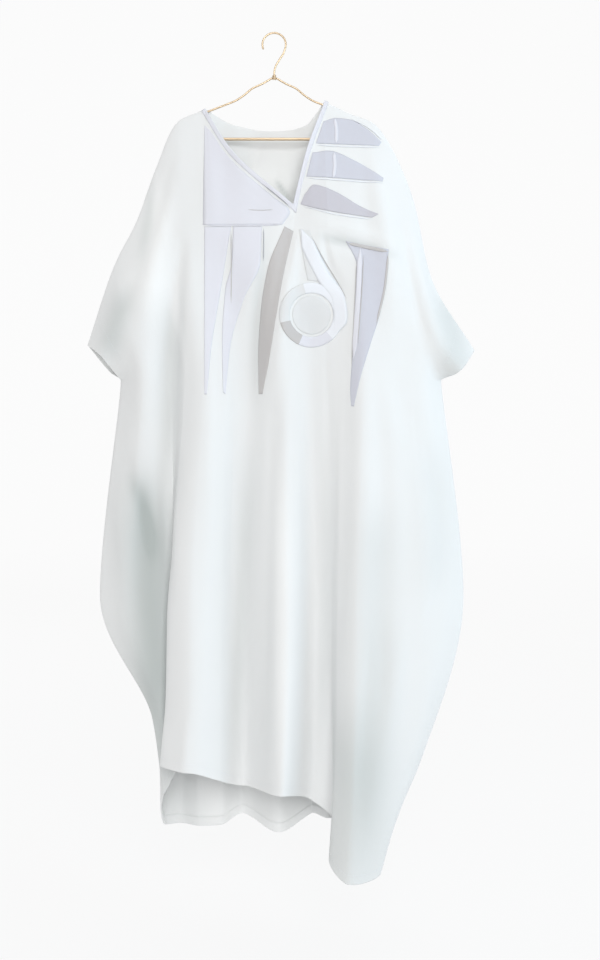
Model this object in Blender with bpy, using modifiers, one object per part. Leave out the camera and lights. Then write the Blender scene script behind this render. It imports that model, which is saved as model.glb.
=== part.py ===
"""A grand boubou robe on a wire hanger.

Metres, +Z up. The robe's front faces -Y and +X is on the right of someone who looks at the front.
The origin is the top of the inside of the hanger's hook, where the hook sits on a rail.
Front and back are each one cloth with its sleeves cut on. They meet at the shoulder and side seams.
Each panel is a loft: fold lines run down it from its top edge, and the cloth passes smoothly through them.
"""

import math
from collections import namedtuple

import bmesh
import bpy
import numpy as np

# Cloth
WALL = 0.0015
SEAM_HALF_GAP = 0.0002
CORNER_HALF_GAP = 0.0020
SEAM_STRIP = 0.0048
NECK_ROW = 0.012
NECK_POINT_DIP = 0.004
TOUCH_GAP = 0.0003
SEWN_ON_WALL = 0.0009
NECK_BAND_WIDTH = 0.009

# Hanger
WIRE = 0.004
BAR_WIRE = 0.006
HOOK_INSIDE = 0.044
HOOK_ARC = (-20, 200)
HOOK_ARC_STEPS = 16
COLLAR_RADIUS = 0.0042
COLLAR_TOP_Z = -0.0845
COLLAR_LENGTH = 0.010
BAR_Z = -0.2158
BAR_HALF = 0.197
ARM_STRAIGHT = (0.100, 0.184)
ARM_SLOPE = 0.40
ARM_STRAIGHT_Z = -0.1455
ARM_END_X = 0.194
CLOTH_OVER_ARM = WIRE / 2 + TOUCH_GAP + WALL


def arm_height(x):
    """Height of the wire's middle on the straight stretch of an arm."""
    return ARM_STRAIGHT_Z - ARM_SLOPE * (abs(x) - ARM_STRAIGHT[0])


def over_arm(name, x, lift=0.0):
    """A point of the cloth's outer face where it lies on the hanger's arm, or a lift above it."""
    return TopPoint(name, x, arm_height(x) + CLOTH_OVER_ARM + lift)


# The top edge on each side of the neck, at x and z
TopPoint = namedtuple("TopPoint", "name x z")
LEFT_TOP = [
    TopPoint("sleeve_tip", -0.381, -0.634),
    TopPoint("sleeve_low", -0.328, -0.476),
    TopPoint("sleeve_middle", -0.282, -0.384),
    TopPoint("sleeve_high", -0.242, -0.275),
    over_arm("hanger_end", -0.198),
    over_arm("neck_point", -0.141, NECK_POINT_DIP),
]
RIGHT_TOP = [
    over_arm("neck_point", 0.103, NECK_POINT_DIP),
    over_arm("shoulder", 0.155),
    over_arm("hanger_end", 0.202),
    TopPoint("sleeve_high", 0.282, -0.330),
    TopPoint("sleeve_low", 0.322, -0.500),
    TopPoint("sleeve_tip", 0.408, -0.645),
]

# The neck edge between the neck points, at x and z, and how far it stands out
NeckPoint = namedtuple("NeckPoint", "name x z out")
FRONT_NECK = [
    NeckPoint("slope_left", -0.084, -0.246, 0.030),
    NeckPoint("v_point", 0.039, -0.358, 0.050),
    NeckPoint("slope_right", 0.066, -0.245, 0.034),
]
BACK_NECK = [
    NeckPoint("scoop_left", -0.078, -0.184, 0.020),
    NeckPoint("scoop_middle", -0.004, -0.193, 0.030),
    NeckPoint("scoop_right", 0.062, -0.184, 0.022),
]

# Fold lines, left to right. Each has its x at the underarm, the widest section, the taper and the hem,
# how far it stands out at the chest and at those four sections, and its height at the hem.
UNDERARM_Z = -0.709
WIDEST_Z = -1.150
TAPER_Z = -1.430
MEAN_HEM_Z = -1.600
Fold = namedtuple("Fold", "name x out hem_z")
FRONT_FOLDS = [
    Fold("seam_left", (-0.314, -0.357, -0.249, -0.228), (0.034, 0.008, 0.006, 0.005, 0.005), -1.560),
    Fold("wing_left", (-0.262, -0.290, -0.226, -0.212), (0.054, 0.050, 0.036, 0.024, 0.020), -1.530),
    Fold("tuck_left", (-0.208, -0.203, -0.203, -0.200), (0.052, 0.034, 0.018, 0.020, 0.026), -1.500),
    Fold("edge_left", (-0.176, -0.212, -0.216, -0.227), (0.050, 0.050, 0.052, 0.055, 0.060), -1.480),
    Fold("ridge_left", (-0.140, -0.162, -0.162, -0.165), (0.050, 0.066, 0.086, 0.095, 0.104), -1.482),
    Fold("flank_left", (-0.096, -0.108, -0.108, -0.108), (0.052, 0.056, 0.062, 0.070, 0.076), -1.506),
    Fold("valley_left", (-0.050, -0.058, -0.060, -0.062), (0.056, 0.040, 0.028, 0.020, 0.014), -1.536),
    Fold("ridge_centre", (0.023, 0.026, 0.021, 0.016), (0.062, 0.064, 0.084, 0.092, 0.098), -1.530),
    Fold("valley_right", (0.078, 0.088, 0.084, 0.080), (0.060, 0.046, 0.032, 0.024, 0.018), -1.566),
    Fold("tuck_right", (0.114, 0.114, 0.116, 0.124), (0.058, 0.052, 0.044, 0.040, 0.036), -1.610),
    Fold("edge_right", (0.142, 0.130, 0.120, 0.109), (0.058, 0.062, 0.066, 0.072, 0.080), -1.660),
    Fold("ridge_right", (0.182, 0.166, 0.160, 0.146), (0.058, 0.076, 0.092, 0.106, 0.118), -1.694),
    Fold("flank_right", (0.244, 0.246, 0.222, 0.186), (0.052, 0.062, 0.076, 0.086, 0.096), -1.698),
    Fold("wing_right", (0.302, 0.334, 0.276, 0.214), (0.050, 0.042, 0.048, 0.054, 0.060), -1.690),
    Fold("seam_right", (0.342, 0.388, 0.306, 0.214), (0.034, 0.008, 0.006, 0.005, 0.005), -1.670),
]
BACK_FOLDS = [
    Fold("seam_left", (-0.314, -0.357, -0.249, -0.228), (0.034, 0.008, 0.006, 0.005, 0.005), -1.560),
    Fold("wing_left", (-0.284, -0.312, -0.238, -0.237), (0.044, 0.044, 0.038, 0.034, 0.024), -1.600),
    Fold("edge_left", (-0.246, -0.258, -0.224, -0.232), (0.046, 0.052, 0.058, 0.058, 0.050), -1.638),
    Fold("ridge_left", (-0.204, -0.196, -0.196, -0.200), (0.044, 0.052, 0.070, 0.074, 0.070), -1.642),
    Fold("valley_left", (-0.158, -0.146, -0.150, -0.156), (0.042, 0.040, 0.042, 0.044, 0.050), -1.640),
    Fold("trough_left", (-0.112, -0.104, -0.110, -0.114), (0.040, 0.036, 0.036, 0.040, 0.046), -1.638),
    Fold("ridge_inner", (-0.056, -0.060, -0.066, -0.070), (0.042, 0.052, 0.072, 0.084, 0.096), -1.630),
    Fold("valley_centre", (0.006, 0.006, 0.008, 0.010), (0.042, 0.036, 0.032, 0.030, 0.028), -1.646),
    Fold("ridge_middle", (0.066, 0.070, 0.074, 0.077), (0.042, 0.048, 0.068, 0.084, 0.096), -1.630),
    Fold("valley_right", (0.126, 0.118, 0.112, 0.112), (0.042, 0.040, 0.038, 0.038, 0.042), -1.622),
    Fold("ridge_right", (0.180, 0.168, 0.158, 0.150), (0.044, 0.050, 0.068, 0.080, 0.088), -1.640),
    Fold("flank_right", (0.236, 0.232, 0.206, 0.180), (0.048, 0.054, 0.070, 0.078, 0.080), -1.656),
    Fold("wing_right", (0.278, 0.298, 0.248, 0.202), (0.050, 0.046, 0.052, 0.054, 0.054), -1.664),
    Fold("sleeve_right", (0.312, 0.352, 0.284, 0.212), (0.048, 0.030, 0.030, 0.032, 0.032), -1.668),
    Fold("seam_right", (0.342, 0.388, 0.306, 0.214), (0.034, 0.008, 0.006, 0.005, 0.005), -1.670),
]

# How far the edge of the left and the right cuff hangs below its straight line, on each panel
FRONT_CUFF_DROPS = (-0.014, 0.010)
BACK_CUFF_DROPS = (0.008, -0.006)
CUFF_DROP_FOLDS = 2.0

# The hook's stem, down from the arc to the collar, and an arm's curve from the collar to its straight part
WirePoint = namedtuple("WirePoint", "x z")
STEM = [
    WirePoint(0.0192, -0.0400),
    WirePoint(0.0135, -0.0490),
    WirePoint(0.0084, -0.0570),
    WirePoint(0.0034, -0.0660),
    WirePoint(0.0008, -0.0750),
    WirePoint(0.0000, COLLAR_TOP_Z + TOUCH_GAP),
]
ARM_CURVE = [
    WirePoint(0.0054, -0.0914),
    WirePoint(0.0240, -0.1022),
    WirePoint(0.0450, -0.1122),
    WirePoint(0.0620, -0.1260),
    WirePoint(0.0800, -0.1375),
]
ARM_END = [WirePoint(0.1900, -0.1825), WirePoint(ARM_END_X, -0.1900)]

# Embroidered pieces on the front, each with its outline at x and z
Piece = namedtuple("Piece", "name finish outline")
PIECES = [
    Piece(
        "yoke_field",
        "lilac",
        [(-0.142, -0.190), (-0.125, -0.208), (-0.101, -0.246), (-0.082, -0.269), (-0.056, -0.295),
         (-0.027, -0.320), (0.003, -0.345), (0.034, -0.373), (0.018, -0.398), (-0.142, -0.398)],
    ),
    Piece(
        "knife_across_high",
        "lilac",
        [(0.084, -0.232), (0.101, -0.182), (0.126, -0.174), (0.152, -0.176), (0.190, -0.196),
         (0.220, -0.223), (0.214, -0.234)],
    ),
    Piece(
        "knife_across_middle",
        "lilac",
        [(0.066, -0.302), (0.078, -0.250), (0.112, -0.245), (0.166, -0.266), (0.223, -0.300),
         (0.220, -0.310)],
    ),
    Piece(
        "knife_across_low",
        "lilac",
        [(0.054, -0.358), (0.062, -0.337), (0.082, -0.317), (0.121, -0.330), (0.173, -0.360),
         (0.212, -0.378), (0.197, -0.386), (0.129, -0.377), (0.080, -0.366)],
    ),
    Piece(
        "knife_down_left",
        "lilac",
        [(-0.139, -0.402), (-0.085, -0.402), (-0.109, -0.551), (-0.123, -0.641), (-0.132, -0.741),
         (-0.138, -0.741)],
    ),
    Piece(
        "knife_down_middle",
        "lilac",
        [(-0.081, -0.402), (-0.022, -0.402), (-0.025, -0.476), (-0.060, -0.551), (-0.086, -0.641),
         (-0.095, -0.741), (-0.102, -0.737), (-0.103, -0.631), (-0.097, -0.531), (-0.084, -0.475)],
    ),
    Piece(
        "knife_down_curved",
        "lilac",
        [(0.022, -0.402), (-0.012, -0.490), (-0.026, -0.580), (-0.031, -0.665), (-0.030, -0.740),
         (-0.022, -0.740), (-0.008, -0.668), (0.005, -0.587), (0.020, -0.503), (0.041, -0.414)],
    ),
    Piece(
        "knife_down_right",
        "lilac",
        [(0.143, -0.432), (0.157, -0.428), (0.231, -0.450), (0.225, -0.524), (0.212, -0.584),
         (0.194, -0.640), (0.172, -0.714), (0.160, -0.765), (0.154, -0.765), (0.152, -0.731),
         (0.162, -0.618), (0.172, -0.510), (0.163, -0.470)],
    ),
    Piece(
        "roundel_tail",
        "pale",
        [(0.050, -0.408), (0.074, -0.411), (0.085, -0.465), (0.098, -0.516), (0.067, -0.513),
         (0.058, -0.465)],
    ),
]
ROUNDEL_CENTRE = (0.076, -0.581)
ROUNDEL_DISC_RADIUS = 0.039
ROUNDEL_RING_RADII = (0.043, 0.065)
ROUNDEL_SIDES = 28

# Grid steps between fold lines, and between the sections down a fold line
STEPS_ACROSS = 3
STEPS_DOWN = (5, 5, 6, 3, 3)
NECK_ROW_START = 0.25
CUFF_STRIP_ROWS = 3
SIDE_TURN_FOLDS = 0.6
EMBROIDERED_ROWS = 14
CUTTER_DEPTH = 0.2


def steady_slopes(places, values):
    """The slope at each knot: the harmonic mean of its two sides' rises, or flat where they disagree."""
    rises = np.diff(values, axis=0) / np.diff(places, axis=0)
    before, after = rises[:-1], rises[1:]
    agree = before * after > 0
    total = np.where(agree, before + after, 1.0)
    middle = np.where(agree, 2 * before * after / total, 0.0)
    return np.concatenate([rises[:1], middle, rises[-1:]])


def between(places, values, slopes, k, share):
    """The smooth curve between knot k and the next, at this share of the way."""
    gap = places[k + 1] - places[k]
    rest = 1 - share
    start = (1 + 2 * share) * rest**2 * values[k] + share * rest**2 * gap * slopes[k]
    end = share**2 * (3 - 2 * share) * values[k + 1] - share**2 * rest * gap * slopes[k + 1]
    return start + end


def chord_places(points):
    """Places along rows of points, each gap the square root of the distance between them."""
    lengths = np.linalg.norm(np.diff(points, axis=0), axis=-1, keepdims=True)
    return np.concatenate([np.zeros_like(lengths[:1]), np.cumsum(np.sqrt(lengths), axis=0)])


NECK_FIRST = len(LEFT_TOP) - 1
NECK_LAST = len(FRONT_FOLDS) - len(RIGHT_TOP)
PLACE = np.arange((len(FRONT_FOLDS) - 1) * STEPS_ACROSS + 1) / STEPS_ACROSS
ON_NECK = (PLACE > NECK_FIRST) & (PLACE < NECK_LAST)


def along(points, first, last, place):
    """A point of the smooth curve through points that are spread evenly over the folds first to last."""
    points = np.array(points, float)
    places = chord_places(points)
    slopes = steady_slopes(places, points)
    position = (place - first) / (last - first) * (len(points) - 1)
    knot = min(int(position), len(points) - 2)
    return between(places, points, slopes, knot, position - knot)


def top_edge(neck, v_neck):
    """Points (x, out, z) of a panel's top edge at each grid column, with corners at the neck points."""
    left = [(p.x, SEAM_HALF_GAP, p.z) for p in LEFT_TOP]
    right = [(p.x, SEAM_HALF_GAP, p.z) for p in RIGHT_TOP]
    start = (LEFT_TOP[-1].x, SEAM_STRIP, LEFT_TOP[-1].z)
    end = (RIGHT_TOP[0].x, SEAM_STRIP, RIGHT_TOP[0].z)
    middle = [(p.x, p.out, p.z) for p in neck]
    centre = (NECK_FIRST + NECK_LAST) // 2
    edge = []
    for place in PLACE:
        if place <= NECK_FIRST:
            edge.append(along(left, 0, NECK_FIRST, place))
        elif place >= NECK_LAST:
            edge.append(along(right, NECK_LAST, PLACE[-1], place))
        elif not v_neck:
            edge.append(along([start] + middle + [end], NECK_FIRST, NECK_LAST, place))
        elif place <= centre:
            edge.append(along([start] + middle[:2], NECK_FIRST, centre, place))
        else:
            edge.append(along(middle[1:] + [end], centre, NECK_LAST, place))
    edge = np.array(edge)
    corners = np.isin(PLACE, [0, NECK_FIRST, NECK_LAST, PLACE[-1]])
    edge[corners, 1] = CORNER_HALF_GAP
    return edge


def across(folds):
    """Points (x, out, z) at each grid column on the sections below the chest, and the chest's depths."""
    heights = (UNDERARM_Z, WIDEST_Z, TAPER_Z)
    net = [[(x, out, z) for x, out, z in zip(f.x, f.out[1:], heights + (f.hem_z,))] for f in folds]
    net = np.array(net, float)
    sag = (net[:, 3, 2] - MEAN_HEM_Z) * (TAPER_Z - WIDEST_Z) / (MEAN_HEM_Z - WIDEST_Z)
    net[:, 2, 2] += sag
    chest = np.array([[[f.out[0]]] for f in folds])
    places = chord_places(net[:, 1])[:, None]
    net_slopes = steady_slopes(places, net)
    chest_slopes = steady_slopes(places, chest)
    spots = [(knot, place - knot) for place in PLACE for knot in [min(int(place), len(folds) - 2)]]
    sections = np.array([between(places, net, net_slopes, k, share) for k, share in spots])
    chest_out = np.array([between(places, chest, chest_slopes, k, share)[0, 0] for k, share in spots])
    return sections, chest_out


def panel_grid(folds, neck, v_neck, cuff_drops):
    """The panel's outer face as a grid of (x, out, z): rows down from the top edge, columns across."""
    edge = top_edge(neck, v_neck)
    sections, chest_out = across(folds)
    folds_in = np.minimum(PLACE, PLACE[-1] - PLACE)
    middle = (edge + sections[:, 0]) / 2
    middle[:, 1] = chest_out
    drops = np.where(PLACE < PLACE[-1] / 2, *cuff_drops)
    middle[:, 2] -= drops * np.clip(1 - folds_in / CUFF_DROP_FOLDS, 0, 1)
    toward = middle - edge
    toward /= np.linalg.norm(toward, axis=1, keepdims=True)
    seam_side = edge * [1, 0, 1] + [0, SEAM_STRIP, 0]
    seam_side[np.isin(PLACE, [NECK_FIRST, NECK_LAST]), 2] -= NECK_POINT_DIP
    folds_from_neck_point = np.minimum(abs(PLACE - NECK_FIRST), abs(PLACE - NECK_LAST))[:, None]
    below_neck = edge + toward * NECK_ROW * np.clip(folds_from_neck_point, NECK_ROW_START, 1)
    second = np.where(ON_NECK[:, None], below_neck, seam_side)

    knots = np.concatenate([second[None], middle[None], np.moveaxis(sections, 1, 0)])
    places = chord_places(knots)
    body = steady_slopes(places, knots)
    sleeve = steady_slopes(places[:3], knots[:3])
    inside = np.clip(folds_in / SIDE_TURN_FOLDS, 0, 1)[:, None]
    above_underarm = body.copy()
    above_underarm[2] = body[2] * inside + sleeve[2] * (1 - inside)
    rows = [edge, second]
    for k, steps in enumerate(STEPS_DOWN):
        slopes = above_underarm if k < 2 else body
        rows += [between(places, knots, slopes, k, i / steps) for i in range(1, steps + 1)]
    return with_side_strips(np.array(rows))


def with_side_strips(grid):
    """The grid with one more column at each side: the side seam's edge and, above it, the cuff's edge."""
    underarm = sum(STEPS_DOWN[:2]) + 1
    sides = []
    for last, inner in ((0, 1), (-1, -2)):
        side = grid[:, last].copy()
        side[underarm:, 1] = SEAM_HALF_GAP
        side[underarm, 1] = CORNER_HALF_GAP
        outward = grid[:underarm, last] - grid[:underarm, inner]
        outward /= np.linalg.norm(outward, axis=1, keepdims=True)
        rows_above = np.arange(underarm, 0, -1)[:, None]
        side[:underarm] += outward * SEAM_STRIP * np.clip(rows_above / CUFF_STRIP_ROWS, 0, 1)
        sides.append(side[:, None])
    return np.concatenate([sides[0], grid, sides[1]], axis=1)


def in_space(grid, facing):
    """The grid with y in place of the distance out, for a panel that faces -Y (-1) or +Y (+1)."""
    return grid * [1, facing, 1]


def material(name, colour, roughness, metallic=0.0):
    made = bpy.data.materials.new(name)
    made.use_nodes = True
    shader = made.node_tree.nodes["Principled BSDF"]
    shader.inputs["Base Color"].default_value = (*colour, 1.0)
    shader.inputs["Roughness"].default_value = roughness
    shader.inputs["Metallic"].default_value = metallic
    return made


def link(name, mesh, collection, finish=None):
    obj = bpy.data.objects.new(name, mesh)
    collection.objects.link(obj)
    if finish:
        mesh.materials.append(finish)
    return obj


def grid_object(name, points, facing, finish, collection):
    """An open surface over a grid of points, with its faces turned to the side it faces."""
    rows, columns = points.shape[:2]
    index = np.arange(rows * columns).reshape(rows, columns)
    start, below, across, right = index[:-1, :-1], index[1:, :-1], index[1:, 1:], index[:-1, 1:]
    halves = [np.stack([start, below, across], axis=-1), np.stack([start, across, right], axis=-1)]
    faces = np.concatenate([half.reshape(-1, 3) for half in halves])
    if facing > 0:
        faces = faces[:, ::-1]
    mesh = bpy.data.meshes.new(name)
    mesh.from_pydata(points.reshape(-1, 3).tolist(), [], faces.tolist())
    mesh.shade_smooth()
    return link(name, mesh, collection, finish)


def add_wall(obj, thickness, offset):
    """A wall inside the surface at offset -1, and outside it at +1."""
    wall = obj.modifiers.new("wall", "SOLIDIFY")
    wall.thickness = thickness
    wall.offset = offset


def moved_out(points, facing, distance):
    """A grid's points moved along its normals, to the side it faces."""
    down = np.gradient(points, axis=0)
    right = np.gradient(points, axis=1)
    normals = np.cross(down, right) * -facing
    normals /= np.linalg.norm(normals, axis=-1, keepdims=True)
    return points + normals * distance


def cutter(name, loops, collection):
    """A prism along Y through closed outlines at x and z. An outline inside another is a hole."""
    curve = bpy.data.curves.new(name, "CURVE")
    curve.dimensions = "2D"
    curve.fill_mode = "BOTH"
    curve.extrude = CUTTER_DEPTH
    for loop in loops:
        spline = curve.splines.new("POLY")
        spline.points.add(len(loop) - 1)
        spline.use_cyclic_u = True
        for point, (x, z) in zip(spline.points, loop):
            point.co = (x, z, 0, 1)
    flat = bpy.data.objects.new(name, curve)
    flat.rotation_euler = (math.pi / 2, 0, 0)
    collection.objects.link(flat)
    graph = bpy.context.evaluated_depsgraph_get()
    graph.update()
    mesh = bpy.data.meshes.new_from_object(flat.evaluated_get(graph))
    mesh.transform(flat.evaluated_get(graph).matrix_world)
    bpy.data.objects.remove(flat)
    welded = bmesh.new()
    welded.from_mesh(mesh)
    bmesh.ops.remove_doubles(welded, verts=welded.verts, dist=0.00001)
    bmesh.ops.recalc_face_normals(welded, faces=welded.faces)
    welded.to_mesh(mesh)
    welded.free()
    made = link(name, mesh, collection)
    made.hide_render = True
    made.display_type = "WIRE"
    return made


def sewn_on(name, shell, loops, finish, collection, cutters):
    """A thin piece of the outlines' shape that lies on the front panel."""
    obj = grid_object(name, shell, -1, finish, collection)
    add_wall(obj, SEWN_ON_WALL, 1)
    cut = obj.modifiers.new("outline", "BOOLEAN")
    cut.operation = "INTERSECT"
    cut.use_self = True
    cut.object = cutter(name + "_outline", loops, cutters)
    return obj


def circle(centre, radius):
    turns = [2 * math.pi * i / ROUNDEL_SIDES for i in range(ROUNDEL_SIDES)]
    return [(centre[0] + radius * math.cos(t), centre[1] + radius * math.sin(t)) for t in turns]


def beside(line, distance):
    """A line at this distance beside a line of points at x and z, with mitred corners."""
    steps = np.diff(line, axis=0)
    steps /= np.linalg.norm(steps, axis=1, keepdims=True)
    sides = np.stack([-steps[:, 1], steps[:, 0]], axis=1)
    before = np.concatenate([sides[:1], sides])
    after = np.concatenate([sides, sides[-1:]])
    return line + (before + after) * distance / (1 + np.sum(before * after, axis=1, keepdims=True))


def neck_band_outline(front):
    """A strip along the front's neck edge, which reaches past the edge into the opening."""
    line = front[0, 1:-1][(PLACE >= NECK_FIRST) & (PLACE <= NECK_LAST)][:, [0, 2]]
    return np.concatenate([beside(line, -NECK_BAND_WIDTH), beside(line, TOUCH_GAP)[::-1]])


def tube(name, points, radius, finish, collection):
    """A round wire through points at x and z."""
    curve = bpy.data.curves.new(name, "CURVE")
    curve.dimensions = "3D"
    curve.bevel_depth = radius
    curve.bevel_resolution = 2
    curve.use_fill_caps = True
    spline = curve.splines.new("POLY")
    spline.points.add(len(points) - 1)
    for point, (x, z) in zip(spline.points, points):
        point.co = (x, 0, z, 1)
    spline.use_smooth = True
    return link(name, curve, collection, finish)


def make_hanger(gold, collection):
    arc_radius = (HOOK_INSIDE + WIRE) / 2
    arc_z = -HOOK_INSIDE / 2
    turns = np.radians(np.linspace(*HOOK_ARC[::-1], HOOK_ARC_STEPS + 1))
    arc = [(arc_radius * math.cos(t), arc_z + arc_radius * math.sin(t)) for t in turns]
    tube("hook", arc + [(p.x, p.z) for p in STEM], WIRE / 2, gold, collection)
    collar_ends = [(0, COLLAR_TOP_Z), (0, COLLAR_TOP_Z - COLLAR_LENGTH)]
    tube("hanger_collar", collar_ends, COLLAR_RADIUS, gold, collection)
    straight = [(x, arm_height(x)) for x in ARM_STRAIGHT]
    foot = (ARM_END_X, BAR_Z + BAR_WIRE / 2 + TOUCH_GAP)
    arm = [(p.x, p.z) for p in ARM_CURVE] + straight + [(p.x, p.z) for p in ARM_END] + [foot]
    tube("hanger_arm_right", arm, WIRE / 2, gold, collection)
    tube("hanger_arm_left", [(-x, z) for x, z in arm], WIRE / 2, gold, collection)
    tube("hanger_bar", [(-BAR_HALF, BAR_Z), (BAR_HALF, BAR_Z)], BAR_WIRE / 2, gold, collection)


def make_embroidery(front, finishes, collection, cutters):
    shell = moved_out(front[:EMBROIDERED_ROWS], -1, TOUCH_GAP)
    sewn_on("neck_band", shell, [neck_band_outline(front)], finishes["pale"], collection, cutters)
    for piece in PIECES:
        sewn_on(piece.name, shell, [piece.outline], finishes[piece.finish], collection, cutters)
    disc = circle(ROUNDEL_CENTRE, ROUNDEL_DISC_RADIUS)
    rings = [circle(ROUNDEL_CENTRE, radius) for radius in ROUNDEL_RING_RADII]
    sewn_on("roundel_disc", shell, [disc], finishes["pale"], collection, cutters)
    sewn_on("roundel_ring", shell, rings, finishes["pale"], collection, cutters)


def main():
    for obj in list(bpy.data.objects):
        bpy.data.objects.remove(obj)
    robe = bpy.data.collections.new("grand_boubou")
    cutters = bpy.data.collections.new("outlines")
    for collection in (robe, cutters):
        bpy.context.scene.collection.children.link(collection)
    cloth = material("white_cloth", (0.82, 0.84, 0.86), 0.75)
    finishes = {
        "lilac": material("lilac_embroidery", (0.68, 0.68, 0.76), 0.6),
        "pale": material("pale_embroidery", (0.82, 0.84, 0.90), 0.6),
    }
    gold = material("gold_wire", (0.78, 0.60, 0.30), 0.3, metallic=1.0)

    front = in_space(panel_grid(FRONT_FOLDS, FRONT_NECK, True, FRONT_CUFF_DROPS), -1)
    back = in_space(panel_grid(BACK_FOLDS, BACK_NECK, False, BACK_CUFF_DROPS), 1)
    add_wall(grid_object("front_panel", front, -1, cloth, robe), WALL, -1)
    add_wall(grid_object("back_panel", back, 1, cloth, robe), WALL, -1)
    make_embroidery(front, finishes, robe, cutters)
    make_hanger(gold, robe)


main()
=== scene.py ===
# %% [markdown]
# # A white grand boubou on a wire hanger
# The robe is two large cloths, a front and a back, each with its sleeves cut on in one piece. They are
# joined along the shoulders and down the sides, and they hang in deep soft folds from a gold wire hanger.
# The solids of the robe are already packed. This lesson dresses them: it loads them as a fixed frame, works
# out finer surfaces of the same form with numpy, and gives each piece its own material.

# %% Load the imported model
from collections import namedtuple

import bmesh
import bpy
import numpy as np
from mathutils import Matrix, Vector


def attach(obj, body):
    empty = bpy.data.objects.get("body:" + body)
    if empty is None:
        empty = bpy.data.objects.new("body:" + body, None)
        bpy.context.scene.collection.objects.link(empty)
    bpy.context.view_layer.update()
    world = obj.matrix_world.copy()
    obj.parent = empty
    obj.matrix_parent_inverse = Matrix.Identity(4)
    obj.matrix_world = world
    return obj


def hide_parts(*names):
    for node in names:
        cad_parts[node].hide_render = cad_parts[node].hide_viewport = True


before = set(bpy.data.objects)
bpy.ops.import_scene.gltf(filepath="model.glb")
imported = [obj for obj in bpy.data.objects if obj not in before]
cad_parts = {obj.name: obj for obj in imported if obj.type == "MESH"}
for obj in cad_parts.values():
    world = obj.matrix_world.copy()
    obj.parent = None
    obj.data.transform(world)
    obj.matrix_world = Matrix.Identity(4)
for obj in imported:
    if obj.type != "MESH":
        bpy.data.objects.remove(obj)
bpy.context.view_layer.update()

print("packed nodes:", len(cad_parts))

# %% [markdown]
# ## Camera
# The robe is seen from the front, level with its middle. The picture's middle lies lower than the level
# line, so the lens is shifted down a little, as on a view camera, and upright lines stay upright. A shift
# keeps the sides of the robe parallel, which a tilted camera would not do.

# %% Camera
lens_data = bpy.data.cameras.new("camera")
lens_data.lens = 41.9
lens_data.shift_y = -0.0708
camera = bpy.data.objects.new("camera", lens_data)
camera.location = (0.053, -2.29, -0.775)
camera.rotation_euler = (np.pi / 2, 0, 0)
bpy.context.scene.collection.objects.link(camera)
bpy.context.scene.camera = camera
print("camera at", tuple(round(value, 3) for value in camera.location))

# %% [markdown]
# ## Smooth curves through a few points
# Cloth bends smoothly between the places that hold it. A short table says where each fold runs, and a
# smooth curve fills in the rest. A Bezier curve object could do it too, but a curve that never swings past
# its points keeps neighbouring folds apart, and numpy can work out all the points of a surface at once.

# %% Smooth curves
def knot_places(points):
    """Each knot's place is the sum, over the gaps before it, of the square root of the gap's length."""
    lengths = np.linalg.norm(np.diff(points, axis=0), axis=-1, keepdims=True)
    return np.concatenate([np.zeros_like(lengths[:1]), np.cumsum(np.sqrt(lengths), axis=0)])


def knot_slopes(places, points):
    """The slope at a knot is the harmonic mean of the rises beside it, and flat where they disagree."""
    rises = np.diff(points, axis=0) / np.diff(places, axis=0)
    before, after = rises[:-1], rises[1:]
    agree = before * after > 0
    total = np.where(agree, before + after, 1.0)
    middle = np.where(agree, 2 * before * after / total, 0.0)
    return np.concatenate([rises[:1], middle, rises[-1:]])


def blend_knots(gap, first, last, first_slope, last_slope, share):
    """The cubic Hermite curve: two knots and their slopes, each weighted by its own cubic of the share."""
    rest = 1 - share
    from_first = (1 + 2 * share) * rest**2 * first + share * rest**2 * gap * first_slope
    from_last = share**2 * (3 - 2 * share) * last - share**2 * rest * gap * last_slope
    return from_first + from_last


def smooth(points, spots, places=None):
    """Points of the curve through the knots. A spot of 2.5 is halfway from the third knot to the fourth."""
    points = np.asarray(points, float)
    places = knot_places(points) if places is None else places
    slopes = knot_slopes(places, points)
    spots = np.asarray(spots, float)
    knot = np.clip(spots.astype(int), 0, len(points) - 2)
    share = (spots - knot).reshape(-1, *[1] * (points.ndim - 1))
    gap = places[knot + 1] - places[knot]
    return blend_knots(gap, points[knot], points[knot + 1], slopes[knot], slopes[knot + 1], share)


# %% [markdown]
# ## The folds, in tables
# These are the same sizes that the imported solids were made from: where the top edge of the cloth runs over
# the hanger, where the neck is cut, and where each fold stands at the chest, underarm, widest part, taper
# and hem.

# %% Tables of the folds
ARM_X, ARM_Z, ARM_FALL, OVER_ARM = 0.100, -0.1455, 0.40, 0.0038


def on_arm(x):
    """Height of the cloth's outer face on the hanger's arm: the arm's slope, half a wire and a cloth."""
    return ARM_Z - ARM_FALL * (abs(x) - ARM_X) + OVER_ARM


TopPoint = namedtuple("TopPoint", "name x z")
LEFT_TOP = [
    TopPoint("sleeve_tip", -0.381, -0.634),
    TopPoint("sleeve_low", -0.328, -0.476),
    TopPoint("sleeve_middle", -0.282, -0.384),
    TopPoint("sleeve_high", -0.242, -0.275),
    TopPoint("hanger_end", -0.198, on_arm(-0.198)),
    TopPoint("neck_point", -0.141, on_arm(-0.141) + 0.004),
]
RIGHT_TOP = [
    TopPoint("neck_point", 0.103, on_arm(0.103) + 0.004),
    TopPoint("shoulder", 0.155, on_arm(0.155)),
    TopPoint("hanger_end", 0.202, on_arm(0.202)),
    TopPoint("sleeve_high", 0.282, -0.330),
    TopPoint("sleeve_low", 0.322, -0.500),
    TopPoint("sleeve_tip", 0.408, -0.645),
]

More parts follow.
